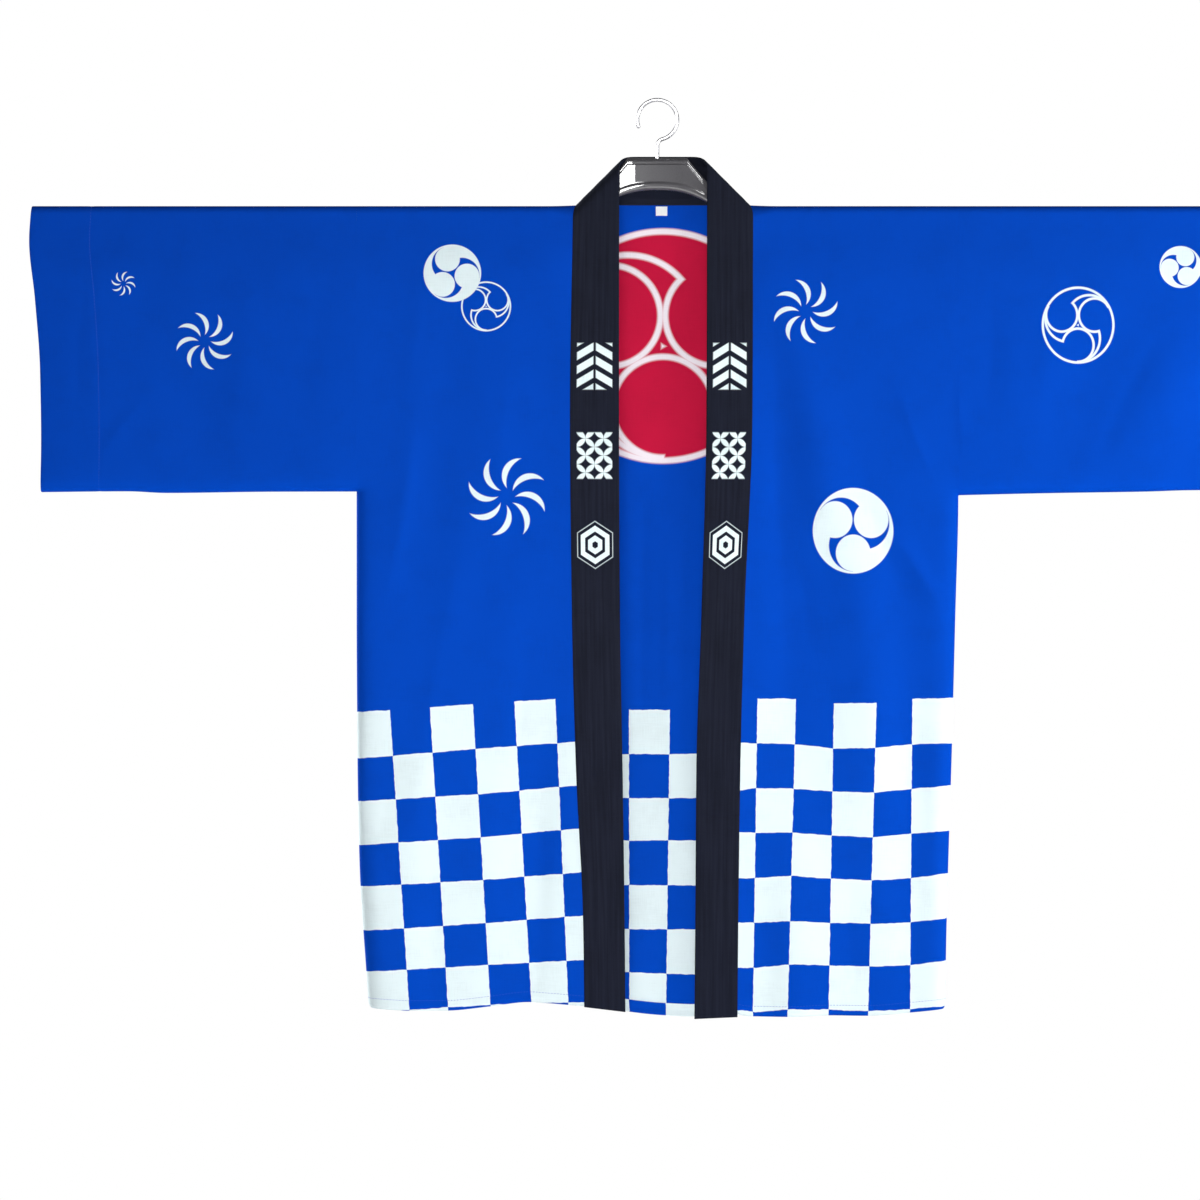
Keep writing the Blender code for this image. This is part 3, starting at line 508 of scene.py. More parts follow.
SIDE_SEAMS = {
    "height": (0, -300, -430, -590, -690, -800, -860),
    "right": (-321.3, -321.3, -321.3, -320.3, -318.2, -311.4, -306.9),
    "left": (309.8, 309.8, 306.6, 302.4, 299.2, 296.6, 296.1),
}
BAND_EDGES = {
    "height": (0, -220, -430, -590, -745, -860),
    "right sewn": (-94.5, -97.7, -95.6, -91.4, -84.0, -82.4),
    "right free": (-46.0, -46.2, -45.2, -42.5, -40.4, -39.4),
    "left free": (46.0, 45.2, 39.9, 34.7, 33.6, 32.6),
    "left sewn": (94.5, 93.5, 85.1, 80.9, 78.8, 77.7),
}
HEMS = {
    "back": {
        "x": (-310, -270, -227, -182, -140, -105, -75, -38, 0, 35, 80, 200, 297),
        "height": (-836, -839, -838.5, -835, -831, -833, -839, -845, -849, -850.5, -848, -846, -840),
    },
}
SLEEVE_FOOT = {
    "reach": (0, 90, 200, 240, 345),
    "right": (-299.0, -299.2, -300.5, -298.8, -299.8),
    "left": (-302.9, -300.8, -299.0, -297.7, -297.0),
}
UNDERARM_CLEAR = 1.3  # how far under the sleeve's foot a body panel's corner lies

# Folds. Columns: top x, top height, foot x, foot height, rise, half width.
FOLDS = {
    "back": (
        (190, -40, 285, -420, -4.0, 30),
        (-185, -40, -290, -430, -4.0, 30),
        (120, -120, 205, -640, 3.6, 30),
        (-110, -140, -200, -660, 3.8, 32),
        (10, -260, -25, -980, -3.4, 40),
        (235, -480, 240, -990, 3.2, 30),
        (-250, -520, -262, -980, 3.0, 28),
        (100, -520, 120, -990, -3.2, 28),
        (-130, -560, -120, -990, -2.8, 26),
        (540, -60, 430, -320, 3.4, 32),
        (-520, -60, -410, -320, 3.4, 32),
    ),
}
# Fine creases between the folds, in the same columns, and how far each line bows sideways.
CREASES = {
    "back": (
        (150, -60, 188, -380, 0.9, 10, 6),
        (-160, -60, -190, -400, 0.9, 10, -6),
        (40, -70, 70, -380, -0.7, 12, 5),
        (-50, -60, -66, -360, -0.7, 12, -4),
        (-16, -250, -20, -600, 0.8, 6, 2),
        (6, -270, 4, -640, -0.9, 6, -2),
        (24, -250, 21, -560, 0.7, 5, 1),
        (20, -420, 44, -800, 0.8, 12, 6),
        (-40, -440, -62, -820, -0.8, 12, -5),
        (180, -420, 230, -760, -0.8, 10, 6),
        (-190, -440, -226, -780, 0.8, 11, -6),
        (270, -420, 262, -820, 0.8, 10, 4),
        (-290, -400, -276, -830, -0.7, 10, 4),
        (350, -60, 338, -260, 0.8, 11, 5),
        (-352, -60, -338, -260, 0.8, 11, -5),
        (470, -50, 420, -280, -0.9, 12, 6),
        (-470, -50, -430, -280, -0.9, 12, -6),
        (590, -90, 540, -280, 0.7, 10, 4),
        (-600, -70, -560, -280, 0.7, 10, 4),
    ),
}
# The cloth's own unevenness. Columns: waves per metre across and up, turn, height.
RIPPLES = ((7.1, 1.9, 0.4, 0.42), (11.3, -4.2, 2.1, 0.26), (4.3, 9.7, 1.2, 0.24), (17.9, 6.1, 5.0, 0.12))
RIPPLE_BEND, RIPPLE_BEND_RATE = 1.3, 0.011  # how the ripples wander with height
BACK_RIPPLE_TURN = 2.6  # what sets the back's unevenness apart from the front's
CREASE_ENDS, CREASE_STEEPER = 1.5, 0.45  # how a crease fades at its ends, and leans to one side
FOLD_CLEAR_OF_COLLAR = 38.0  # distance from the strip over which the folds come up


def smooth_step(t):
    """t squared times 3 - 2t, held to 0 and 1 outside."""
    t = np.clip(t, 0, 1)
    return t * t * (3 - 2 * t)


def way_from(start, stop, value):
    """Share of the way from start to stop, held to 0 and 1 outside."""
    return np.clip((value - start) / (stop - start), 0, 1)


def fading(distance, reach):
    """1 at no distance, falling as a square to 0 at the reach."""
    return (1 - np.clip(distance / reach, 0, 1)) ** 2


def unit(vectors):
    return vectors / np.linalg.norm(vectors, axis=-1, keepdims=True)


def through(at, along, values):
    """A cubic through a table's points with harmonic-mean slopes, which never overshoots."""
    along, values = np.asarray(along, float), np.asarray(values, float)
    if along[0] > along[-1]:
        along, values = along[::-1], values[::-1]
    chord = np.diff(values) / np.diff(along)
    product = chord[:-1] * chord[1:]
    both = np.where(product > 0, chord[:-1] + chord[1:], 1)
    slope = np.concatenate([chord[:1], np.where(product > 0, 2 * product / both, 0), chord[-1:]])
    at = np.clip(at, along[0], along[-1])
    i = np.clip(np.searchsorted(along, at, side="right") - 1, 0, len(along) - 2)
    step = along[i + 1] - along[i]
    t = (at - along[i]) / step
    held = values[i] * (1 + 2 * t) * (1 - t) ** 2 + values[i + 1] * t * t * (3 - 2 * t)
    return held + step * t * (1 - t) * (slope[i] * (1 - t) - slope[i + 1] * t)


def turned_in(distance, width, power=2.0):
    """Depth share of cloth that turns in to a closed edge, 0 at the edge.

    As round a quarter ellipse, the share still to go and the depth share, each raised to
    the power, add up to 1. A higher power keeps flat for longer.
    """
    return (1 - (1 - np.clip(distance / width, 0, 1)) ** power) ** (1 / power)


def roll_offsets(width):
    """Distances from a closed edge that cut its quarter turn into equal angles."""
    return width * (1 - np.cos(np.linspace(0, HALF_TURN, ROLL_STEPS + 1)))


def spread(start, stop, count):
    """count even steps from start to stop, without start itself."""
    return np.linspace(start, stop, count + 1)[1:]


def steps_over(length, pitch=PITCH):
    return max(int(math.ceil(abs(length) / pitch)), 1)


def side_seam(side, height):
    return through(height, SIDE_SEAMS["height"], SIDE_SEAMS[side])


def underarm(side):
    return SLEEVE_FOOT[side][0] - UNDERARM_CLEAR


def along_line(line, x, height):
    """Share of the way down a line, and the distance across it, of each point."""
    top_x, top_height, foot_x, foot_height = line
    run_x, run_height = foot_x - top_x, foot_height - top_height
    length = math.hypot(run_x, run_height)
    along = ((x - top_x) * run_x + (height - top_height) * run_height) / length**2
    across = ((x - top_x) * run_height - (height - top_height) * run_x) / length
    return along, across


def cloth_relief(face, x, height):
    """Folds, fine creases and unevenness over the plain wall.

    A fold rises as a sine along its line and falls off across it as a bell curve of its
    half width. A crease is the same about a bowed line, and steeper on one side. The
    unevenness is a sum of four sines.
    """
    total = np.zeros_like(x)
    for *line, rise, half_width in FOLDS[face]:
        along, across = along_line(line, x, height)
        swell = np.sin(math.pi * np.clip(along, 0, 1))
        total += rise * swell * np.exp(-((across / half_width) ** 2))
    for *line, rise, half_width, bow in CREASES[face]:
        along, across = along_line(line, x, height)
        swell = np.sin(math.pi * np.clip(along, 0, 1)) ** CREASE_ENDS
        off = (across - bow * swell) / half_width
        total += rise * swell * np.exp(-(off**2)) * (1 + CREASE_STEEPER * np.tanh(2 * off))
    for across_rate, up_rate, turn, size in RIPPLES:
        shift = turn + (0.0 if face == "front" else BACK_RIPPLE_TURN)
        phase = 2 * math.pi * (across_rate * x + up_rate * height) * MM + shift
        bend = RIPPLE_BEND * np.sin(RIPPLE_BEND_RATE * height + shift)
        total += size * np.sin(phase + bend)
    return total


def wall_depth(face, x, height):
    """Distance of the cloth from the middle plane, away from its closed edges."""
    lowered = smooth_step((-height - SHOULDER_ROLL) / PARTING)
    to_cuff = smooth_step(way_from(CUFF_FROM, CUFF_BY, np.abs(x)))
    hanging = BODY_DEPTH + (SLEEVE_DEPTH - BODY_DEPTH) * to_cuff
    plain = SHOULDER_ROLL + (hanging - SHOULDER_ROLL) * lowered
    near_band = smooth_step((np.abs(x) - NECK_HALF) / FOLD_CLEAR_OF_COLLAR)
    held = near_band if face == "front" else 1
    return plain + cloth_relief(face, x, height) * lowered * held


def body_wall(face, x, height, opened=0.0):
    """y of a body panel's middle. opened is 1 where the neck leaves its top edge free."""
    distance = np.full_like(x, np.inf)
    for side, sign in SIDES:
        inward = sign * (side_seam(side, height) - x)
        over_corner = np.clip(height - underarm(side), 0, None)
        distance = np.minimum(distance, np.hypot(inward, over_corner))
    crest = opened + (1 - opened) * turned_in(-height, SHOULDER_ROLL)
    depth = wall_depth(face, x, height) * turned_in(distance, EDGE_ROLL, EDGE_POWER) * crest
    return (-1 if face == "front" else 1) * (SEAM / 2 + depth)


def band_edge(side, edge, height):
    """x of the strip's sewn or free edge, as it hangs in front."""
    return through(height, BAND_EDGES["height"], BAND_EDGES[f"{side} {edge}"])


def collar_point(sign, across, flat):
    """Points of the collar strip's middle.

    across counts from the sewn edge to the free edge, flat up the strip from the shoulder
    line. The strip stands upright in front, rolls over an axis at 45 degrees and lies
    level behind the neck, as a strip does when it is folded over at 45 degrees.
    """
    side = "left" if sign > 0 else "right"
    outward = (flat - across) / math.sqrt(2)
    upward = (flat + across) / math.sqrt(2)
    arc = outward - ROLL_AXIS - HALF_TURN * NECK_ROLL
    turn = np.clip(arc / NECK_ROLL, -HALF_TURN, HALF_TURN)
    straight = np.abs(arc - turn * NECK_ROLL)
    out = ROLL_AXIS + NECK_ROLL * np.cos(turn) - straight
    inset = (upward - out) / math.sqrt(2)
    height = (upward + out) / math.sqrt(2)

    share = across / BAND_WIDTH
    hung = (1 - share) * (band_edge(side, "sewn", flat) - sign * NECK_HALF)
    hung = hung + share * (band_edge(side, "free", flat) - sign * (NECK_HALF - BAND_WIDTH))
    sunk = (BAND_DEPTH - NECK_ROLL) * smooth_step(way_from(SINK_FROM, SINK_BY, flat))
    x = sign * (NECK_HALF - inset) + hung
    return np.stack([x, NECK_ROLL * np.sin(turn) - sunk, height], -1)


def tucked(flat):
    """Place across the strip that a panel's edge reaches, less where both turn over the shoulder."""
    return TUCK - CREST_CLEARANCE * np.exp(-(((flat - CREST_FLAT) / CREST_SPREAD) ** 2))


def back_neck_edge():
    """Where the back meets the strip, from the right shoulder round to the left."""
    turn = math.sqrt(2) * NECK_ROLL * spread(0, HALF_TURN, NECK_STEPS)
    flat = np.concatenate([[CREST_FLAT], CREST_FLAT + turn, [NECK_HALF]])
    right = collar_point(-1, tucked(flat), flat)
    left = collar_point(1, tucked(flat), flat)[::-1]
    return np.concatenate([right, left[1:]])


def row_heights(x, hem):
    """Heights of a body panel's rows, closest where the cloth turns. One column for each x."""
    reach = (x - SIDE_SEAMS["right"][0]) / (SIDE_SEAMS["left"][0] - SIDE_SEAMS["right"][0])
    corner = underarm("right") + (underarm("left") - underarm("right")) * reach
    top = -SHOULDER_ROLL
    upper = steps_over(np.mean(corner) + EDGE_ROLL - top)
    lower = steps_over(np.mean(hem) + HEM_FINE - np.mean(corner))
    rows = [np.full_like(x, -offset) for offset in roll_offsets(SHOULDER_ROLL)]
    rows += [top + (corner + EDGE_ROLL - top) * f for f in spread(0, 1, upper)]
    rows += [corner + offset for offset in roll_offsets(EDGE_ROLL)[-2::-1]]
    rows += [corner + (hem + HEM_FINE - corner) * f for f in spread(0, 1, lower)]
    rows += [hem + HEM_FINE * (1 - f) for f in spread(0, 1, steps_over(HEM_FINE, HEM_PITCH))]
    return np.array(rows), ROLL_STEPS + upper + ROLL_STEPS


def normals_of(middle, outward, tube=False, level=()):
    """Unit normals of a grid of points; the edges in level keep to the coat's middle plane."""
    down = np.gradient(middle, axis=0)
    if tube:
        sideways = np.roll(middle, -1, 1) - np.roll(middle, 1, 1)
    else:
        sideways = np.gradient(middle, axis=1)
    normal = np.cross(down, sideways) * outward
    for edge in level:
        normal[edge][..., 1] = 0
    return unit(normal)


def stitch_groove(distance):
    """How far a row of stitches draws the cloth down, at a distance from the row."""
    return -GROOVE * np.exp(-((distance / GROOVE_HALF) ** 2))


def hem_lift(above):
    """Lift of the cloth near its hem: drawn down at the stitches, leaning in at the fold."""
    return stitch_groove(above - HEM_STITCH) - HEM_CURL * fading(above, CURL_HEIGHT)


def folded_under(middle, normal, rows=HEM_ROWS):
    """The grid with its last rows turned under against the wall, as a hem or a facing is.

    The fold is half a circle of radius HEM_GAP / 2 below the last row, and the turned part
    is the rows above it moved in by HEM_GAP.
    """
    radius = HEM_GAP / 2
    edge, inward = middle[-1], -normal[-1]
    on = unit(edge - middle[-2])
    turned = [
        edge + on * radius * math.sin(angle) + inward * radius * (1 - math.cos(angle))
        for angle in np.linspace(0, math.pi, FOLD_ROWS + 2)[1:-1]
    ]
    under = middle[: -rows - 1 : -1] - normal[: -rows - 1 : -1] * HEM_GAP
    return np.concatenate([middle, turned, under])


def flat_lengths(points):
    """Length along a line of points, or down each column of a grid: its place on flat cloth."""
    step = np.linalg.norm(np.diff(points, axis=0), axis=-1)
    return np.concatenate([np.zeros_like(step[:1]), np.cumsum(step, 0)])


def points_at(places, at, line):
    """Points of a line at these lengths along it, where at is the length to each of its own."""
    return np.stack([np.interp(places, at, line[:, k]) for k in range(3)], -1)


def quads(grid):
    """Each cell's four corners, going down and then sideways. Works on indices and on maps."""
    return np.stack([grid[:-1, :-1], grid[1:, :-1], grid[1:, 1:], grid[:-1, 1:]], 2)


def facing(corners, way, axis=-1):
    """Quads in their order, or turned round where way is negative. axis runs over corners."""
    return corners if way > 0 else np.flip(corners, axis)


def closed(grid):
    """The grid with its first column again after its last."""
    return np.concatenate([grid, grid[:, :1]], 1)


def piece(name, points, faces, material, maps=None, sharp=40, aside=ASIDE):
    """A mesh object from points in millimetres and arrays of quads, shaded smooth."""
    mesh = bpy.data.meshes.new(name)
    placed_points = (np.asarray(points, float).reshape(-1, 3) + (aside, 0, -HANG)) * MM
    corners = np.asarray(faces).reshape(-1, 4)
    mesh.vertices.add(len(placed_points))
    mesh.vertices.foreach_set("co", placed_points.ravel())
    mesh.loops.add(corners.size)
    mesh.loops.foreach_set("vertex_index", corners.ravel())
    mesh.polygons.add(len(corners))
    mesh.polygons.foreach_set("loop_start", np.arange(0, corners.size, 4))
    for map_name, values in (maps or {}).items():
        layer = mesh.uv_layers.new(name=map_name)
        layer.data.foreach_set("uv", np.asarray(values, np.float32).ravel())
    mesh.update(calc_edges=True)
    mesh.validate()
    mesh.shade_smooth()
    mesh.set_sharp_from_angle(angle=math.radians(sharp))
    mesh.materials.append(material)
    made = added(name, mesh)
    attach(made, "root")
    return made


def cloth(name, middle, normal, outward, thickness, maps, material, tube=False):
    """Closed thin cloth round a grid: each side lies half the thickness off the middle.

    maps are grids of two values for each point, with one more column than the points
    where the cloth is a tube.
    """
    rows, columns = middle.shape[:2]
    index = np.arange(rows * columns).reshape(rows, columns)
    if tube:
        index = closed(index)
    under = index + rows * columns
    rims = [(np.s_[0], outward), (np.s_[-1], -outward)]
    if not tube:
        rims += [(np.s_[:, 0], -outward), (np.s_[:, -1], outward)]

    def both_sides(over, below):
        """Quads of the outer side, of the inner side and of each rim between them."""
        cells = [facing(quads(over), outward, 2), facing(quads(below), -outward, 2)]
        for edge, way in rims:
            top, foot = over[edge], below[edge]
            cells.append(facing(np.stack([top[:-1], top[1:], foot[1:], foot[:-1]], 1), way, 1))
        return np.concatenate([c.reshape(-1, 4, *over.shape[2:]) for c in cells])

    faces = both_sides(index, under)
    loops = {map_name: both_sides(values, values) for map_name, values in maps.items()}
    half = normal * thickness / 2
    points = np.concatenate([(middle + half).reshape(-1, 3), (middle - half).reshape(-1, 3)])
    return piece(name, points, faces, material, loops)


def counted(value, lines):
    """Place among ruled lines: 0 on the first, 1 on the second, and so on past both ends."""
    total = np.zeros(np.broadcast(value, lines[0]).shape)
    for i, (low, high) in enumerate(zip(lines[:-1], lines[1:])):
        share = (value - low) / (high - low)
        total += np.clip(share, 0 if i else -np.inf, 1 if i < len(lines) - 2 else np.inf)
    return total


# Rings of a stitch: place along its half length, then size and lift in its thread's radius.
STITCH_RINGS = ((-1, 0.45, -0.5), (-0.6, 1, 0.2), (0.6, 1, 0.2), (1, 0.45, -0.5))


def stitches(name, line, normal, colour, length=2.3, pitch=3.2, thread=0.18):
    """A row of running stitches along a line of points: short threads that dip at both ends."""
    at = flat_lengths(line)
    centres = np.arange(pitch, at[-1] - pitch / 2, pitch)
    middle = points_at(centres, at, line)
    ahead = unit(points_at(centres + 0.5, at, line) - middle)
    up = points_at(centres, at, normal)
    side = unit(np.cross(ahead, up))
    angle = np.linspace(0, 2 * math.pi, 7)[:6]
    places = []
    for along, size, lift in STITCH_RINGS:
        ring = middle[:, None] + ahead[:, None] * along * length / 2
        ring = ring + side[:, None] * (np.cos(angle) * size * thread)[:, None]
        ring = ring + up[:, None] * (np.sin(angle) * size * thread + lift * thread)[:, None]
        places.append(ring)
    points = np.stack(places, 1)
    index = np.arange(points.size // 3).reshape(len(centres), 4, 6)
    index = np.concatenate([index, index[:, :, :1]], 2)
    sides = [index[:, :-1, :-1], index[:, 1:, :-1], index[:, 1:, 1:], index[:, :-1, 1:]]
    faces = [np.stack(sides, -1).reshape(-1, 4)]
    for ring, way in ((0, 1), (3, -1)):
        ends = index[:, ring]
        faces += [facing(ends[:, half], way) for half in ([0, 1, 2, 3], [0, 3, 4, 5])]
    return piece(name, points, np.concatenate(faces), colour)


def thread_finish(name, colour):
    material, inputs, net = cloth_shader(name, roughness=0.6, specular=0.25)
    pale = tuple(min(1.0, c * 1.25 + 0.004) for c in colour[:3]) + (1,)
    net.feed(inputs["Base Color"], net.mix(net.noise(net.own_place(), 1800.0), colour, pale))
    return material


BLUE_THREAD = thread_finish("blue_thread", BLUE)

# Check borders. "columns" are the dividing lines at two heights, in order across the panel;
# "rows" are the heights of each row's top line at the named x.
CHECK_LINES = {
    "back": {
        "heights": (-528.7, -847.0),
        "columns": ((-35.7, -35.3), (7.4, 3.3), (50.4, 45.2)),
        "x": (-38.0, 0.0, 32.0),
        "rows": (
            (-528.7, -528.7, -528.7), (-575.4, -575.4, -575.4), (-621.6, -621.6, -621.6),
            (-666.2, -666.2, -666.2), (-713.5, -713.5, -713.5), (-759.7, -759.7, -759.7),
            (-804.8, -806.4, -807.5), (-844.5, -847.8, -849.5),
        ),
    },
}


def ruled_grid(ruling, x, height):
    """Column and row of each point between the ruling's own slightly leaning lines."""
    top, foot = ruling["heights"]
    share = (height - top) / (foot - top)
    columns = [at_top + (at_foot - at_top) * share for at_top, at_foot in ruling["columns"]]
    rows = [np.interp(x, ruling["x"], line) for line in ruling["rows"]]
    return np.stack([counted(x, columns), counted(height, rows)], -1)


def printed_grid(panel, middle, height, length):
    """Check border's column and row at every point, carried on round the turned-up hem."""
    last = len(height) - 1
    grid = ruled_grid(CHECK_LINES[panel], middle[: last + 1, :, 0], height)
    row_size = np.mean(-np.diff(CHECK_LINES[panel]["rows"], axis=0))
    beyond = (length[last + 1 :] - length[last]) / row_size
    under = np.stack([np.broadcast_to(grid[-1, :, 0], beyond.shape), grid[-1, :, 1] + beyond], -1)
    return np.concatenate([grid, under])


def back_middle(x, height):
    """Middle points of the back, for heights counted from its level shoulder line."""
    neck = back_neck_edge()
    neck_point = neck[-1]
    near = fading(np.abs(x) - abs(neck_point[0]), NECK_BLEND)
    shift_x, shift_height = np.sign(x) * (abs(neck_point[0]) - NECK_HALF) * near, neck_point[2] * near
    in_neck = np.abs(x) < abs(neck_point[0])
    top_y = np.where(in_neck, np.interp(x, neck[:, 0], neck[:, 1]), SEAM / 2)
    top_height = np.where(in_neck, np.interp(x, neck[:, 0], neck[:, 2]), shift_height)
    opened = np.clip((top_y - SEAM / 2) / SHOULDER_ROLL, 0, 1)
    fade = fading(-height, NECK_FADE)
    at_top = body_wall("back", x, np.zeros_like(x), opened)
    y = body_wall("back", x, height, opened) + (top_y - at_top) * fade
    moved_x = x + np.where(in_neck, 0, shift_x * fade)
    return np.stack([moved_x, y, height + top_height * fade], -1)


def hemmed_panel(name, outward, level, height, hem_line, middle, edges):
    """Turns up, prints and stitches a body panel.

    edges are those whose normals stay level.
    """
    normal = normals_of(middle, outward, level=edges)
    middle += normal * hem_lift(height - hem_line)[..., None]
    middle = folded_under(middle, normal)
    normal = normals_of(middle, outward, level=edges)
    length = flat_lengths(middle)
    on_cloth = np.stack([np.broadcast_to(level, length.shape), length], -1) * MM
    maps = {"Cut": on_cloth, "Checks": printed_grid(name, middle, height, length)}
    made = cloth(f"coat_{name}", middle, normal, outward, CLOTH, maps, printed_cotton(name))
    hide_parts(name)
    row = len(middle) - HEM_ROWS - FOLD_ROWS - 1 - int(round(HEM_STITCH / HEM_PITCH))
    line = middle[row] + normal[row] * CLOTH / 2
    sewn = stitches(f"{name}_hem_stitches", line, normal[row], BLUE_THREAD)


def make_back():
    roll = roll_offsets(EDGE_ROLL)
    right, left = side_seam("right", 0.0), side_seam("left", 0.0)
    neck_x = back_neck_edge()[:, 0]
    turning = neck_x[1 : NECK_STEPS + 1]
    wide = steps_over(neck_x[0] - NECK_BLEND - right - EDGE_ROLL)
    level = np.concatenate(
        [
            right + roll,
            spread(right + EDGE_ROLL, neck_x[0] - NECK_BLEND, wide),
            spread(neck_x[0] - NECK_BLEND, neck_x[0], steps_over(NECK_BLEND)),
            turning,
            spread(turning[-1], -turning[-1], steps_over(2 * turning[-1])),
            -turning[-2::-1],
            spread(-neck_x[0], -neck_x[0] + NECK_BLEND, steps_over(NECK_BLEND) + 1),
            spread(-neck_x[0] + NECK_BLEND, left - EDGE_ROLL, wide),
            left - roll[-2::-1],
        ]
    )
    hem = HEMS["back"]
    lowest = np.mean(hem["height"])
    at_hem = np.interp(level, (right, left), (side_seam("right", lowest), side_seam("left", lowest)))
    hem_line = through(at_hem, hem["x"], hem["height"])
    height, corner_row = row_heights(level, hem_line)
    share = way_from(right + EDGE_ROLL, left - EDGE_ROLL, level)
    lean_right = side_seam("right", height) - right
    lean_left = side_seam("left", height) - left
    x = level + lean_right * (1 - share) + lean_left * share
    middle = back_middle(x, height)
    crest = np.abs(level) >= abs(neck_x[0]) - 0.01
    edges = [np.s_[:1, crest], np.s_[corner_row:, :1], np.s_[corner_row:, -1:]]
    hemmed_panel("back", -1, level, height, hem_line, middle, edges)


make_back()

# ---------------------------------------------------------------------------------------
# The fronts. One straight width of cloth to each side, sewn to the back down its side and
# to the collar strip along its inner edge, with the hem turned up and stitched.

HEMS |= {
    "front_right": {
        "x": (-310, -288, -266, -227, -182, -140, -118, -83),
        "height": (-840, -841.5, -842.6, -842.6, -838.4, -833.7, -835, -838),
    },
    "front_left": {
        "x": (78, 94, 130, 173, 214, 257, 297),
        "height": (-845.5, -848.5, -849, -847.5, -848, -845, -841),
    },
}
# Folds and creases in front, over the body and the sleeves, in the same columns as the back's.
FOLDS["front"] = (
    (-218, -40, -296, -400, -1.6, 30),
    (-236, -30, -290, -440, 2.4, 17),
    (-175, -150, -240, -560, 1.4, 26),
    (-120, -420, -150, -980, -3.0, 34),
    (-262, -520, -268, -960, 2.8, 28),
    (98, -70, 144, -660, -4.0, 30),
    (130, -70, 198, -430, 4.6, 26),
    (198, -270, 232, -720, 5.0, 26),
    (232, -330, 302, -440, 3.0, 12),
    (256, -340, 260, -980, -4.0, 25),
    (128, -560, 150, -990, 3.0, 26),
    (590, -80, 468, -310, 2.0, 30),
    (668, -70, 528, -320, -4.4, 40),
    (500, -60, 400, -300, -3.0, 34),
    (-560, -40, -420, -330, -3.0, 44),
)
CREASES["front"] = (
    (-228, -30, -262, -300, -0.9, 9, 6),
    (-246, -120, -300, -470, 0.8, 8, -8),
    (-200, -330, -262, -690, 0.8, 10, 9),
    (-150, -90, -176, -420, 0.6, 9, 4),
    (-135, -380, -170, -700, -0.8, 11, -6),
    (-300, -560, -286, -900, 0.7, 9, 4),
    (-230, -650, -238, -900, -0.7, 10, 3),
    (-110, -600, -122, -880, 0.6, 8, -3),
    (-345, -60, -372, -240, -0.5, 12, 5),
    (-430, -30, -455, -280, 0.5, 13, -8),
    (-520, -180, -600, -285, 0.6, 9, 4),
    (-600, -20, -612, -270, -0.5, 8, 3),
    (238, -160, 300, -320, 1.0, 6, 4),
    (228, -330, 300, -432, 1.2, 6, -5),
    (204, -250, 262, -430, -1.0, 9, 6),
    (312, -160, 322, -290, 0.8, 6, 3),
    (345, -60, 340, -240, -0.8, 10, -5),
    (118, -150, 128, -420, -0.9, 9, 4),
    (140, -360, 158, -470, -1.0, 9, -3),
    (180, -430, 214, -640, 0.8, 9, 5),
    (286, -520, 280, -820, 0.7, 9, -4),
    (200, -640, 206, -900, -0.7, 10, 4),
    (104, -640, 110, -890, -0.6, 9, 2),
    (420, -40, 398, -270, 0.7, 11, 6),
    (540, -110, 452, -286, -0.9, 12, 5),
    (610, -140, 560, -290, 0.7, 9, -4),
)
CHECK_LINES |= {
    "front_right": {
        "heights": (-518.2, -841.6),
        "columns": (
            (-330.6, -309.6), (-286.7, -265.7), (-244.7, -225.3), (-199.5, -180.6),
            (-156.0, -137.6), (-112.8, -99.1), (-69.3, -59.9),
        ),
        "x": (-316.0, -190.0, -84.0),
        "rows": (
            (-530.3, -521.9, -515.0), (-579.1, -568.6, -561.2), (-623.8, -616.4, -606.9),
            (-669.8, -661.6, -652.1), (-713.5, -706.5, -698.3), (-759.7, -751.9, -743.5),
            (-802.7, -795.8, -790.1), (-845.8, -837.4, -834.2),
        ),
    },
    "front_left": {
        "heights": (-518.2, -841.6),
        "columns": (
            (98.7, 94.0), (139.2, 130.2), (178.8, 173.3), (223.2, 214.8), (261.0, 258.8),
            (305.0, 299.8),
        ),
        "x": (81.9, 96.4, 135.0, 176.0, 219.0, 259.9, 301.0),
        "rows": (
            (-516.5, -516.5, -516.5, -521.3, -521.3, -517.1, -515.7),
            (-562.7, -563.3, -564.0, -568.6, -568.2, -564.4, -563.3),
            (-612.3, -610.2, -610.6, -613.7, -614.8, -611.2, -607.8),
            (-656.4, -656.8, -656.8, -659.9, -661.6, -657.8, -655.1),
            (-704.7, -704.7, -701.9, -705.1, -706.8, -704.7, -699.2),
            (-750.9, -751.3, -749.2, -751.3, -752.3, -750.9, -746.0),
            (-798.1, -798.5, -794.3, -795.8, -797.1, -795.4, -790.5),
            (-842.6, -844.7, -841.6, -842.2, -843.7, -841.6, -838.4),
        ),
    },
}


def front_neck_edge(sign, drop):
    """Where a front meets the strip, for points this far under the shoulder's crest.

    Over the shoulder both turn by the same angle, so that neither stands past the other.
    """
    angle = np.arccos(1 - np.clip(drop / SHOULDER_ROLL, 0, 1))
    turning = CREST_FLAT - math.sqrt(2) * NECK_ROLL * angle
    turn_foot = CREST_FLAT - math.sqrt(2) * NECK_ROLL * HALF_TURN
    share = way_from(SHOULDER_ROLL, NECK_TURN_FOOT, drop)
    joining = turn_foot + (-NECK_TURN_FOOT - turn_foot) * share
    flat = np.where(drop < SHOULDER_ROLL, turning, joining)
    flat = np.where(drop < NECK_TURN_FOOT, flat, -drop)
    return collar_point(sign, tucked(flat), flat)


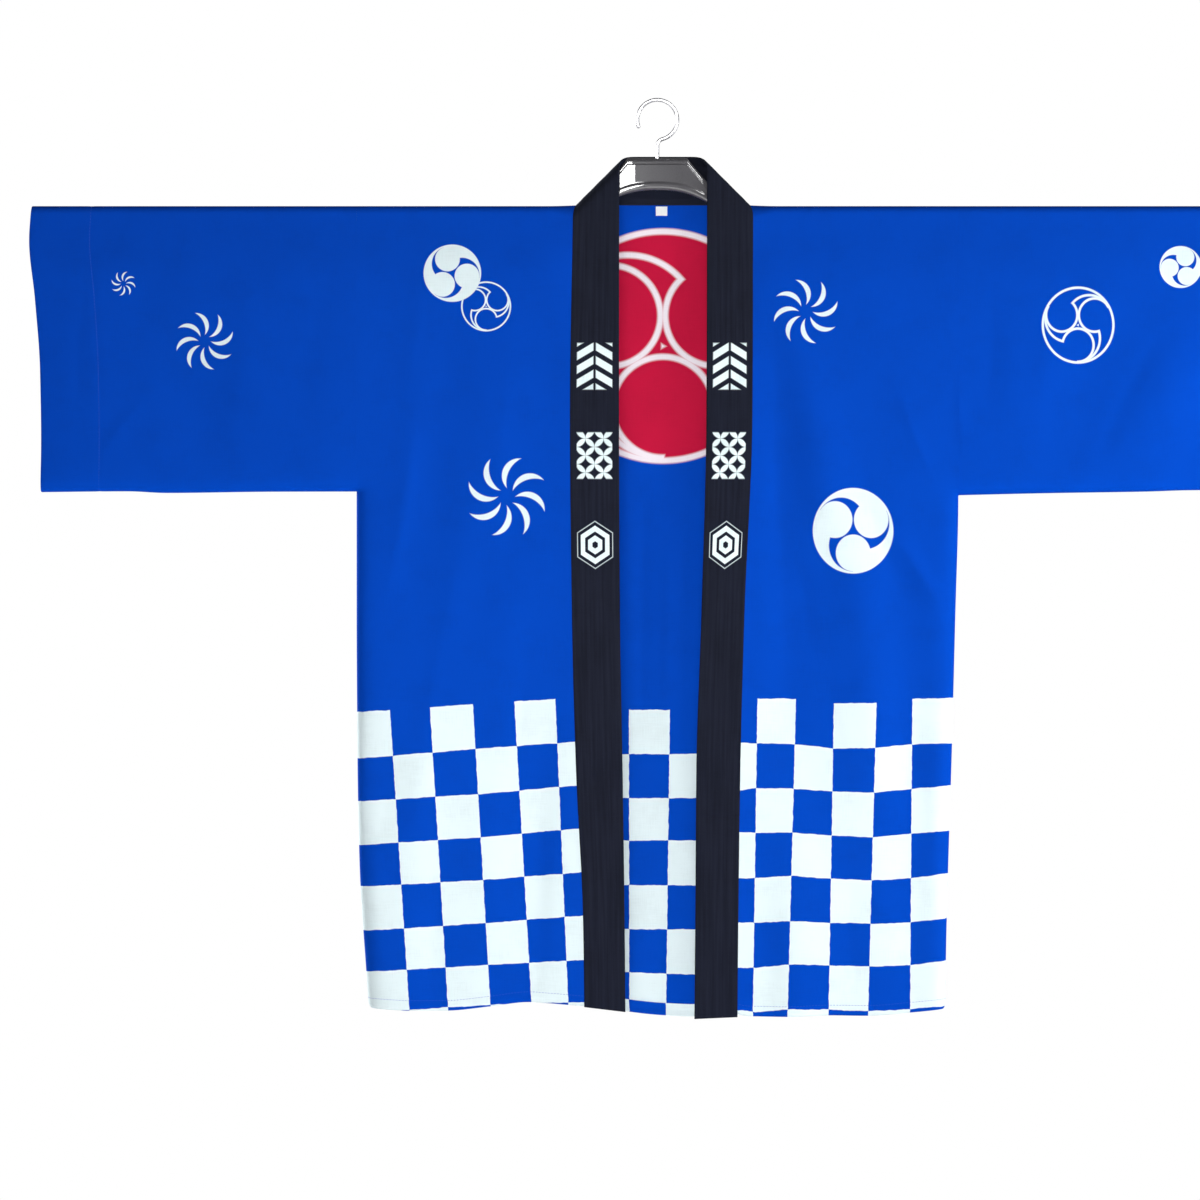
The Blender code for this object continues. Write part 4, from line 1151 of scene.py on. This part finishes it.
def make_front(side, sign):
    """One front, with its side seam turned in and its inner edge following the strip."""
    name = f"front_{side}"
    roll = roll_offsets(EDGE_ROLL)
    seam_x, edge_x = side_seam(side, 0.0), sign * NECK_HALF
    blend_x = edge_x + sign * NECK_BLEND
    plain = spread(seam_x - sign * EDGE_ROLL, blend_x, steps_over(seam_x - blend_x - sign * EDGE_ROLL))
    inner = spread(blend_x, edge_x, steps_over(NECK_BLEND, BLEND_PITCH))
    level = np.concatenate([seam_x - sign * roll, plain, inner])
    hem = HEMS[name]
    at_hem = side_seam(side, np.mean(hem["height"])) + (level - seam_x)
    hem_line = through(at_hem, hem["x"], hem["height"])
    height, corner_row = row_heights(level, hem_line)
    # Columns keep their distance from the side seam in the roll and share out the rest.
    inside = way_from(EDGE_ROLL, abs(seam_x - edge_x), np.abs(seam_x - level))
    lean = band_edge(side, "sewn", height) - edge_x
    side_lean = side_seam(side, height) - seam_x
    x = level + side_lean * (1 - inside) + lean * inside
    middle = np.stack([x, body_wall("front", x, height), height], -1)

    target = front_neck_edge(sign, -height[:, -1])
    target[0, 1] = -SEAM / 2
    pull = target - middle[:, -1]
    near = fading(np.abs(x - x[:, -1:]), NECK_BLEND)
    middle += pull[:, None] * near[..., None]
    edges = [np.s_[:1], np.s_[corner_row:, :1]]
    hemmed_panel(name, -sign, level, height, hem_line, middle, edges)


for side, sign in SIDES:
    make_front(side, sign)

# ---------------------------------------------------------------------------------------
# The sleeves. Each is one width folded over the arm and sewn along its foot, open at the
# cuff, where a wide facing is turned inside and stitched down.

CUFF_REACH = {
    "height": (0, -35, -98, -172, -245, -310),
    "reach": (340.2, 342.3, 336.0, 330.8, 329.7, 330.8),
}
FACING, FACING_STITCH = 64.0, 3.0  # depth of the facing, and its stitches' distance from its edge
SLEEVE_FALL, CUFF_FINE = 300.0, 8.0  # the sleeve's depth, and the closely laid rows at its cuff
SLEEVE_JOIN = 0.06  # what shows of the gap between sleeve and body


def make_sleeve(side, sign):
    """A flattened tube. Its rows run round it, from the body out to the cuff."""
    cuff_end = CUFF_REACH["reach"][0]
    plain = spread(0, 1 - CUFF_FINE / cuff_end, steps_over(cuff_end))
    steps = np.concatenate([[0], plain, spread(plain[-1], 1, 4)])
    foot_at = through(steps * CUFF_REACH["reach"][-1], SLEEVE_FOOT["reach"], SLEEVE_FOOT[side])
    top = -roll_offsets(SHOULDER_ROLL)
    wall = spread(0, 1, steps_over(SLEEVE_FALL - EDGE_ROLL - SHOULDER_ROLL))
    foot = roll_offsets(EDGE_ROLL)[-2::-1]
    rows = []
    for lowest in foot_at:
        straight = top[-1] + (lowest + EDGE_ROLL - top[-1]) * wall
        rows.append(np.concatenate([top, straight, lowest + foot]))
    front = np.array(rows)
    height = np.hstack([front, front[:, -2:0:-1]])
    face_sign = np.ones(height.shape[1])
    face_sign[: front.shape[1]] = -1
    cuff = through(height, CUFF_REACH["height"], CUFF_REACH["reach"])
    reach = SLEEVE_JOIN + (cuff - SLEEVE_JOIN) * steps[:, None]
    x = side_seam(side, 0.0) + sign * reach
    inside = turned_in(height - foot_at[:, None], EDGE_ROLL, EDGE_POWER)
    inside = inside * turned_in(-height, SHOULDER_ROLL)
    front_depth = wall_depth("front", x, height)
    back_depth = wall_depth("back", x, height)
    y = face_sign * np.where(face_sign < 0, front_depth, back_depth) * inside
    middle = np.stack([x, y, height], -1)
    normal = normals_of(middle, -sign, tube=True)
    middle += normal * stitch_groove(np.abs(x - x[-1:]) - FACING + FACING_STITCH)[..., None]
    reached = np.linalg.norm(middle - middle[-1:], axis=-1).mean(1)
    folded = folded_under(middle, normal, int(np.sum(reached <= FACING)))
    normal = normals_of(folded, -sign, tube=True)

    around = flat_lengths(closed(folded).swapaxes(0, 1)).T
    along = closed(flat_lengths(folded))
    maps = {"Cut": np.stack([around, along], -1) * MM}
    name = f"sleeve_{side}"
    made = cloth(f"coat_{name}", folded, normal, -sign, CLOTH, maps, printed_cotton(name),
                 tube=True)
    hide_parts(name)
    distance = np.abs(middle[:, :, 0] - middle[-1, :, 0]).mean(1)
    row = int(np.argmin(np.abs(distance - FACING + FACING_STITCH)))
    line = folded[row] + normal[row] * CLOTH / 2
    line = np.concatenate([line, line[:1]])
    turn = np.concatenate([normal[row], normal[row, :1]])
    sewn = stitches(f"{name}_cuff_stitches", line, turn, BLUE_THREAD)


for side, sign in SIDES:
    make_sleeve(side, sign)

# ---------------------------------------------------------------------------------------
# The collar. A doubled black strip sewn round the neck and down both fronts, printed with
# three white marks a side, and lengthened at the foot by two short ends.

EDGE_ROUND = BAND / 2
STRIP_PITCH, STRIP_FINE = 3.0, 2.0  # spacing of points along the strip, and across it
SWELLS, SWELL = 3, 0.14  # the layers inside
PRESSED, PRESSED_AT, PRESSED_HALF = 0.2, 5.0, 1.3  # the dent along the sewn edge
NECK_LAP = 3.0  # how much further the strip laps down over the back at the neck
END_EASE, THINNEST = 2.6, 0.2  # length over which a shut end fills out, and its share at first
TONGUE, TONGUE_WIDE, TONGUE_THICK = 3.0, 0.97, 0.3  # how the foot reaches up inside the strip
FOOT_LENGTH, HEM_FILLS = 200.0, 130.0  # the foot's, near enough, and its hem's rate of filling out
# Rows down a foot, as shares of its length, closer at both ends.
FOOT_TOP_ROWS, FOOT_ROWS, FOOT_HEM_ROWS = (0, 0.002, 0.006), (0.012, 0.994, 64), (0.997, 1.0)
EDGE_POINTS = 7  # points round the strip's folded edge
BAND_HEM = {"right sewn": -839.5, "right free": -844.7, "left free": -852.0, "left sewn": -850.0}
# Columns: kind, distance of the mark's middle from the sewn edge, height of its middle.
MARKS = (("feathers", 24.2, -168.5), ("rings", 24.2, -262.0), ("hexagons", 24.2, -355.5))
MARK_HALF = (18.0, 25.0)
COARSER = 1.3  # the black cotton's threads against the blue's
RUBBED_ACROSS, RUBBED_ALONG = 330.0, 9.0  # rates of its rubbed streaks, a metre
MARK_EDGE, RING_EDGE = 0.06, 0.05  # softness of the printed edges, as shares of a half size
# Feathers: slant, bars in a half size, half a bar and half the middle line.
FEATHER_SLANT, FEATHER_RATE, FEATHER_HALF, FEATHER_GAP = 0.45, 1.75, 0.29, 0.07
RING_RADIUS, RING_FLATTENED = 0.5, 1.39
HEXAGON_RATE, HEXAGON_HALF, HEXAGON_TURN = 2.5, 0.3, 0.68  # bands in a half size, half a band, start


def marks_group():
    """Three common figures, each filling a box of half size 1.

    feathers are slanting bars that meet at a middle line. rings are the lenses where
    circles of two staggered nets overlap. hexagons lie one inside another.
    """
    net, given, put = group(
        "collar marks",
        [("Place", "Vector")],
        [("feathers", "Float"), ("rings", "Float"), ("hexagons", "Float")],
    )
    parts = net.split(given["Place"])
    x, y = net.math("ABSOLUTE", parts[0]), net.math("ABSOLUTE", parts[1])
    box = net.math("SUBTRACT", 0.97, net.math("MAXIMUM", x, y))

    slanted = net.math("MULTIPLY_ADD", x, FEATHER_SLANT, parts[1])
    bars = net.banded(slanted, FEATHER_RATE, 0.5, FEATHER_HALF)
    feathers = net.all_of(bars, net.math("SUBTRACT", x, FEATHER_GAP), box)
    net.feed(put["feathers"], net.inked(feathers, MARK_EDGE))

    wide = net.math("PINGPONG", x, RING_RADIUS)
    tall = net.math("PINGPONG", net.math("MULTIPLY", y, RING_FLATTENED), RING_RADIUS)
    point = net.join(wide, tall)
    here = net.within(point, (0.0, 0.0), RING_RADIUS)
    there = net.within(point, (RING_RADIUS, RING_RADIUS), RING_RADIUS)
    net.feed(put["rings"], net.inked(net.all_of(here, there, box), RING_EDGE))

    slant = net.math("MULTIPLY", net.math("MULTIPLY_ADD", x, 0.5, y), 0.98)
    hexagon = net.math("MAXIMUM", slant, x)
    bands = net.banded(hexagon, HEXAGON_RATE, HEXAGON_TURN, HEXAGON_HALF)
    bands = net.all_of(bands, net.math("SUBTRACT", 0.98, hexagon))
    net.feed(put["hexagons"], net.inked(bands, MARK_EDGE))
    return net.tree


MARKS_GROUP = marks_group()


def black_cotton(name, marked):
    material, inputs, net = cloth_shader(name, roughness=0.9, specular=0.06, sheen=0.02)
    cut = net.uv("Cut")
    weave = placed(net, WEAVE, Cut=cut, Spacing=THREADS * COARSER)
    streak = net.noise(net.stretched(cut, RUBBED_ACROSS, RUBBED_ALONG, 1.0), detail=3.0)
    colour = net.mix(net.spread(streak, 0.35, 0.65), BLACK, BLACK_RUBBED)
    if marked:
        for kind, across, height in MARKS:
            values = {
                "Vector": cut,
                "Location": (across * MM, height * MM, 0.0),
                "Scale": (MARK_HALF[0] * MM, MARK_HALF[1] * MM, 1.0),
            }
            place = net.node("Mapping", 0, values, vector_type="TEXTURE")
            ink = placed(net, MARKS_GROUP, Place=place)[kind]
            colour = net.mix(ink, colour, WHITE)
    dyed_and_woven(net, inputs, colour, weave, *BLACK_WEAVE)
    return material


def strip_section():
    """Section of the doubled strip: distance across it and lift off its middle, all round.

    Both edges are half circles. Between them the layers inside show as faint lengthwise
    swells, the square of a sine, with a dent like a bell curve where the sewn edge is pressed.
    """
    wide = spread(EDGE_ROUND, BAND_WIDTH - EDGE_ROUND, steps_over(BAND_WIDTH, STRIP_FINE))
    wide = np.concatenate([[EDGE_ROUND], wide])
    swell = SWELL * np.sin(SWELLS * math.pi * (wide - EDGE_ROUND) / (BAND_WIDTH - BAND)) ** 2
    swell -= PRESSED * np.exp(-(((wide - PRESSED_AT) / PRESSED_HALF) ** 2))
    turn = np.linspace(HALF_TURN, -HALF_TURN, EDGE_POINTS + 2)[1:-1]
    free_across = BAND_WIDTH - EDGE_ROUND + EDGE_ROUND * np.cos(turn)
    sewn_across = EDGE_ROUND - EDGE_ROUND * np.cos(turn[::-1])
    lift = EDGE_ROUND * np.sin(turn)
    across = np.concatenate([wide, free_across, wide[::-1], sewn_across])
    lifted = np.concatenate([EDGE_ROUND + swell, lift, -EDGE_ROUND - swell[::-1], lift[::-1]])
    return across, lifted


def strip_normal(sign, across, flat):
    """Unit normal of the strip's middle, from its differences across and along."""
    small = 0.05
    aside = collar_point(sign, across + small, flat) - collar_point(sign, across - small, flat)
    on = collar_point(sign, across, flat + small) - collar_point(sign, across, flat - small)
    return unit(np.cross(aside, on) * sign)


def strip_rings(sign, flat, across, lifted, shut=1.0):
    """Rings round the strip at rows that run along it. shut thins the strip at a closed end."""
    middle = collar_point(sign, across, flat)
    return middle + strip_normal(sign, across, flat) * (lifted * shut)[..., None]


def tube_piece(name, rings, maps, material, outward=1, aside=ASIDE):
    """A closed tube through rings of points, its two ends shut flat."""
    count, ring = rings.shape[:2]
    index = closed(np.arange(count * ring).reshape(count, ring))
    faces = [facing(quads(index), outward).reshape(-1, 4)]
    loops = [facing(quads(maps), outward, 2).reshape(-1, 4, 2)]
    half = ring // 2
    for row, way in ((index[0, :-1], 1), (index[-1, :-1], -1)):
        one, other = row[:half], row[::-1][:half]
        cap = np.stack([one[:-1], other[:-1], other[1:], one[1:]], -1)
        faces.append(facing(cap, -way * outward))
        loops.append(np.broadcast_to(maps[0 if way > 0 else -1, 0], (len(cap), 4, 2)))
    maps = {"Cut": np.concatenate(loops)}
    return piece(name, rings, np.concatenate(faces), material, maps, aside=aside)


def make_collar():
    across, lifted = strip_section()
    roll = math.sqrt(2) * NECK_ROLL * HALF_TURN
    rises, levels, end = CREST_FLAT - roll, CREST_FLAT + roll, NECK_HALF + NECK_RISE
    base = np.concatenate(
        [
            np.linspace(JOIN + SEAM / 2, SLANT_FROM, steps_over(JOIN - SLANT_FROM, STRIP_PITCH)),
            spread(SLANT_FROM, rises, steps_over(rises - SLANT_FROM, STRIP_PITCH)),
            spread(rises, levels, 3 * NECK_STEPS),
            spread(levels, end, steps_over(end - levels, STRIP_PITCH)),
        ]
    )[:, None]
    slanting = smooth_step(way_from(SLANT_FROM, rises, base))
    squaring = way_from(levels, end, base)
    flat = base + across * slanting * (1 - squaring)
    lap = NECK_LAP * np.clip((base - CREST_FLAT) / roll, 0, 1)
    wide = across - lap * (1 - across / BAND_WIDTH)
    shut = np.clip((base - JOIN) / END_EASE, THINNEST, 1) ** 0.5
    right = strip_rings(-1, flat, wide, lifted, shut)
    left = strip_rings(1, flat, wide, lifted, shut)[-2::-1]
    place = np.stack([wide, flat], -1)
    place = closed(np.concatenate([place, place[-2::-1]])) * MM
    rings = np.concatenate([right, left])
    made = tube_piece("collar_strip", rings, place, black_cotton("black_cotton_marked", True))
    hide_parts("collar_neck", "collar_right", "collar_left")


def make_collar_end(side, sign):
    across, lifted = strip_section()
    share = across / BAND_WIDTH
    foot = BAND_HEM[side + " sewn"] * (1 - share) + BAND_HEM[side + " free"] * share
    top = JOIN - SEAM / 2
    down = np.concatenate([FOOT_TOP_ROWS, spread(*FOOT_ROWS), FOOT_HEM_ROWS])[:, None]
    flat = top + (foot - top) * down
    filled = np.minimum(down * FOOT_LENGTH / END_EASE, (1 - down) * HEM_FILLS)
    shut = np.concatenate([[[TONGUE_THICK]], np.clip(filled, THINNEST, 1) ** 0.5])
    flat = np.concatenate([np.full((1, flat.shape[1]), top + TONGUE), flat])
    wide = BAND_WIDTH / 2 + (across - BAND_WIDTH / 2) * np.where(flat > top, TONGUE_WIDE, 1.0)
    rings = strip_rings(sign, flat, wide, lifted, shut)
    place = closed(np.stack([across + 0 * flat, flat], -1)) * MM
    made = tube_piece(f"collar_foot_{side}", rings, place, BLACK_PLAIN,
                      outward=sign)
    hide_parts(f"collar_end_{side}")


BLACK_PLAIN = black_cotton("black_cotton", False)
make_collar()
for side, sign in SIDES:
    make_collar_end(side, sign)

# ---------------------------------------------------------------------------------------
# The label. A bare white woven tag stitched at both ends to the inside of the back.

LABEL_X, LABEL_HEIGHT = (-7.4, 4.6), (-4.0, -11.4)
TAG, TAG_OFF = 0.6, 0.25  # thickness of the tag, and how far it stands off the cloth
TAG_COLUMNS, TAG_ROWS = 18, 16
TAG_WHITES = (0.72, 0.74, 0.74, 1), (0.95, 0.96, 0.96, 1)
TAG_THREADS = 0.0003


def make_label():
    across, down = np.linspace(*LABEL_X, TAG_COLUMNS), np.linspace(*LABEL_HEIGHT, TAG_ROWS)
    x, height = np.meshgrid(across, down)
    middle = back_middle(x, height)
    middle[..., 1] -= CLOTH / 2 + TAG_OFF + TAG / 2
    normal = normals_of(middle, 1)
    material, inputs, net = cloth_shader("white_tag", roughness=0.7)
    weave = placed(net, WEAVE, Cut=net.uv("Cut"), Spacing=TAG_THREADS)
    net.feed(inputs["Base Color"], net.mix(weave["Dye"], *TAG_WHITES))
    net.feed(inputs["Normal"], net.bump(weave["Height"], *BLUE_WEAVE[1:]))
    maps = {"Cut": np.stack([x, height], -1) * MM}
    tag = cloth("neck_tag", middle, normal, 1, TAG, maps, material)
    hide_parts("neck_label")
    for end, column in (("right", 1), ("left", -2)):
        line = middle[1:-1, column] + normal[1:-1, column] * TAG / 2
        stitches(f"tag_stitches_{end}", line, normal[1:-1, column], WHITE_THREAD, 1.4, 2.0, 0.16)


WHITE_THREAD = thread_finish("white_thread", (0.7, 0.72, 0.72, 1))
make_label()

# ---------------------------------------------------------------------------------------
# The hanger's middle. A glossy dark moulding with a raised lip along its arch, drilled from
# above for the hook and ending in two round spigots that take the arms.

CORE_TOP, CORE_FLAT, CORE_FLANK = 50.5, 31.2, 1.18  # level top, its half width, the flanks' slope
# The arch under it: height, fall and half width, and how square its shoulders are.
CORE_ARCH_TOP, CORE_ARCH_FALL, CORE_ARCH_HALF, CORE_ARCH_POWER = 17.0, 34.0, 78.0, 2.4
CORE_THINNING, THIN_BY = 0.43, 55.0  # share of its depth that is lost, and by what reach
SPIGOT_RADIUS, SPIGOT_HEIGHT, SPIGOT_TURN = 5.5, -10.5, 80.0  # and half its round in degrees
SPIGOT_FROM, SPIGOT_BY = 66.0, 92.0  # reach between which the moulding turns round
ARM_START = 122.0
# Columns: height up from the foot and half depth there; then down from the top.
CORE_LIP = (
    (0.0, 4.6), (0.4, 5.9), (1.2, 7.1), (2.0, 7.6), (3.0, 7.9), (4.4, 8.05), (5.8, 7.95),
    (6.9, 7.6), (7.8, 7.1), (8.4, 6.7),
)
CORE_CROWN = (
    (8.0, 6.7), (7.5, 6.66), (7.0, 6.45), (6.6, 6.1), (6.1, 5.88), (5.4, 5.8), (4.2, 5.72),
    (3.2, 5.45), (2.2, 4.9), (1.2, 3.9), (0.4, 2.6), (0.0, 1.4),
)
CORE_FACE_ROWS, CORE_CROWN_ROWS = 14, 32
# Upright sections from the middle outwards. Columns: reach, steps up to it.
CORE_SECTIONS = ((CORE_FLAT, 30), (64.0, 72), (96.0, 24), (ARM_START - SEAM, 6))
WIRE_RADIUS, WIRE_SIDES = 2.0, 24
# The hook's hole: how deep the shank stands, the room under and round it, the drill's run-out.
SHANK_IN_CORE, HOLE_SPARE, SHANK_CLEARANCE, DRILL_ABOVE = 20.0, 2.0, 0.35, 8.0


def hard_finish(net, inputs, tint, colours, worn, roughness, relief):
    """Colours mixed by tint, a roughness that wanders with worn, and (height, depth, strength)."""
    net.feed(inputs["Base Color"], net.mix(tint, *colours))
    net.feed(inputs["Roughness"], net.spread(worn, 0.3, 0.7, *roughness))
    net.feed(inputs["Normal"], net.bump(*relief))


def gloss_material():
    material, inputs, net = shaded(
        "dark_gloss", Specular_IOR_Level=0.1, Coat_Weight=1.0, Coat_Roughness=0.02
    )
    where = net.own_place()
    smear, fleck = net.noise(where, 55.0, 5.0), net.noise(where, 900.0)
    colours = (0.066, 0.064, 0.072, 1), (0.096, 0.094, 0.104, 1)
    hard_finish(net, inputs, fleck, colours, smear, (0.3, 0.42), (smear, 0.00012, 0.08))
    return material


def steel_material():
    material, inputs, net = shaded("bright_steel", Metallic=1.0)
    where = net.own_place()
    drawn = net.noise(net.stretched(where, 40.0, 900.0, 900.0), detail=3.0)
    colours = (0.4, 0.4, 0.42, 1), (0.52, 0.52, 0.54, 1)
    hard_finish(
        net, inputs, drawn, colours, net.noise(where, 70.0, 4.0), (0.3, 0.4), (drawn, 0.00004, 0.06)
    )
    return material


STEEL = steel_material()


def core_rings():
    """Upright sections of the moulding, each blended into a round spigot towards its ends."""
    starts = [0.0] + [far for far, _ in CORE_SECTIONS]
    half = [spread(near, far, count) for near, (far, count) in zip(starts, CORE_SECTIONS)]
    half = np.concatenate(half)
    stations = np.concatenate([-half[::-1], [0.0], half])
    reach = np.abs(stations)
    top = np.clip(CORE_TOP - CORE_FLANK * (reach - CORE_FLAT), SPIGOT_HEIGHT + SPIGOT_RADIUS, CORE_TOP)
    foot = CORE_ARCH_TOP - CORE_ARCH_FALL * np.minimum(reach / CORE_ARCH_HALF, 1) ** CORE_ARCH_POWER
    fullness = 1 - CORE_THINNING * np.minimum(reach / THIN_BY, 1) ** 2
    rows = [(foot + up, depth) for up, depth in CORE_LIP]
    low, high = foot + CORE_LIP[-1][0], top - CORE_CROWN[0][0]
    rows += [(low + (high - low) * f, CORE_LIP[-1][1]) for f in spread(0, 1, CORE_FACE_ROWS)]
    crown = spread(CORE_CROWN[0][0], 0, CORE_CROWN_ROWS)
    rows += [(top - down, depth) for down, depth in zip(crown, through(crown, *zip(*CORE_CROWN)))]
    side = [np.stack([stations, -depth * fullness, height], -1) for height, depth in rows]
    moulded = np.array(side + [row * (1, -1, 1) for row in side[::-1]])
    angle = np.radians(np.linspace(-SPIGOT_TURN, SPIGOT_TURN, len(side)))
    angle = np.concatenate([angle, angle[::-1]])
    way = np.repeat([-1, 1], len(side))
    round_y = (way * SPIGOT_RADIUS * np.cos(angle))[:, None]
    round_height = (SPIGOT_HEIGHT + SPIGOT_RADIUS * np.sin(angle))[:, None]
    spigot = np.stack(np.broadcast_arrays(stations, round_y, round_height), -1)
    share = smooth_step(way_from(SPIGOT_FROM, SPIGOT_BY, reach))[None, :, None]
    return (moulded * (1 - share) + spigot * share).transpose(1, 0, 2)


def bar_rings(path, radius, sides, across=(0.0, 1.0, 0.0)):
    """Rings of a round bar along a path that keeps to one plane, which across stands square to."""
    aside = np.cross(unit(np.gradient(path, axis=0)), across)
    angle = np.linspace(0, 2 * math.pi, sides + 1)[:-1]
    size = np.broadcast_to(radius, len(path))[:, None, None]
    around = np.cos(angle)[:, None] * aside[:, None] + np.sin(angle)[:, None] * np.array(across)
    return path[:, None] + around * size


def wrap_map(rings):
    """Shares of the way round and along a tube, for a texture that follows it."""
    count, ring = rings.shape[:2]
    along = np.linspace(0, 1, count)[:, None] + np.zeros((1, ring + 1))
    around = np.linspace(0, 1, ring + 1)[None] + np.zeros((count, 1))
    return np.stack([around, along], -1)


def make_core():
    rings = core_rings()
    core = tube_piece("hanger_middle", rings, wrap_map(rings), gloss_material(), aside=0)
    bottom = CORE_TOP - SHANK_IN_CORE - HOLE_SPARE
    path = np.array([[0.0, 0.0, bottom], [0.0, 0.0, CORE_TOP + DRILL_ABOVE]])
    hole = bar_rings(path, WIRE_RADIUS + SHANK_CLEARANCE, WIRE_SIDES)
    drill = tube_piece("drill", hole, wrap_map(hole), core.data.materials[0], aside=0)
    drill.data.polygons.foreach_set("use_smooth", [False] * len(drill.data.polygons))
    cut = core.modifiers.new("hook hole", "BOOLEAN")
    cut.operation = "DIFFERENCE"
    cut.object = drill
    bpy.context.view_layer.update()
    drilled = bpy.data.meshes.new_from_object(core.evaluated_get(bpy.context.evaluated_depsgraph_get()))
    core.modifiers.clear()
    core.data = drilled
    bpy.data.objects.remove(drill, do_unlink=True)
    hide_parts("hanger_core")


make_core()

# ---------------------------------------------------------------------------------------
# The arms. Two plain steel rods that run out through the shoulders into the sleeves.

ARM_END, ARM_END_ROUND = 634.0, 2.0  # reach of the far end, and how the ends are rounded
ARM_RINGS, ARM_END_RINGS, ARM_SIDES = 60, 7, 40


def make_arm(side, sign):
    edge = 1 - np.cos(np.linspace(0, HALF_TURN, ARM_END_RINGS))
    near, far = ARM_START + ARM_END_ROUND * edge, ARM_END - ARM_END_ROUND * edge[::-1]
    x = np.concatenate([near, np.linspace(near[-1], far[0], ARM_RINGS)[1:-1], far])
    ease = np.minimum(x - ARM_START, ARM_END - x)
    radius = ARM_RADIUS - ARM_END_ROUND + ARM_END_ROUND * turned_in(ease, ARM_END_ROUND)
    path = np.stack([sign * x, 0 * x, 0 * x - SHOULDER_ROLL], -1)
    rings = bar_rings(path, radius, ARM_SIDES)
    made = tube_piece(f"arm_{side}", rings, wrap_map(rings), STEEL, aside=0)
    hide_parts(f"hanger_arm_{side}")


for side, sign in SIDES:
    make_arm(side, sign)

# ---------------------------------------------------------------------------------------
# The hook. One length of steel wire: a bow over the rail, a bend back and a shank that
# stands in the hole of the middle piece.

BOW_INNER_RADIUS = 19.0
BOW_TIP_ANGLE, BOW_FOOT_ANGLE = 205.0, -75.0  # in degrees, from the wearer's left and up
BOW_RINGS, BEND_RINGS, SHANK_RINGS, TIP_RINGS = 90, 24, 12, 8
TIP_LENGTH = 2.4  # how far the tip's closer rings reach
TIP_FLAT = 0.12  # radius of the flat on the hook's rounded tip, as a share of the wire's


def make_hook():
    radius = BOW_INNER_RADIUS + WIRE_RADIUS
    bow = np.radians(np.linspace(BOW_TIP_ANGLE, BOW_FOOT_ANGLE, BOW_RINGS))
    bow_x = radius * np.cos(bow)
    bow_z = radius * np.sin(bow) - BOW_INNER_RADIUS
    lean = math.radians(-BOW_FOOT_ANGLE)
    bend = bow_x[-1] / (1 - math.cos(lean))
    left = spread(lean, 0, BEND_RINGS)
    bend_x = bend * (1 - np.cos(left))
    bend_z = bow_z[-1] - bend * (math.sin(lean) - np.sin(left))
    foot = CORE_TOP - SHANK_IN_CORE - HANG
    shank_z = spread(bend_z[-1], foot, SHANK_RINGS)
    x = np.concatenate([bow_x, bend_x, np.zeros(len(shank_z))])
    z = np.concatenate([bow_z, bend_z, shank_z])
    path = np.stack([x, 0 * x, z + HANG], -1)
    at = flat_lengths(path)
    tip = WIRE_RADIUS * (1 - np.cos(np.linspace(0, HALF_TURN, TIP_RINGS)))
    places = np.concatenate([tip, at[at > TIP_LENGTH]])
    path = points_at(places, at, path)
    size = WIRE_RADIUS * np.maximum(turned_in(places, WIRE_RADIUS), TIP_FLAT)
    rings = bar_rings(path, size, WIRE_SIDES)
    made = tube_piece("hook", rings, wrap_map(rings), STEEL, aside=0)
    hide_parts("hanger_hook")


make_hook()
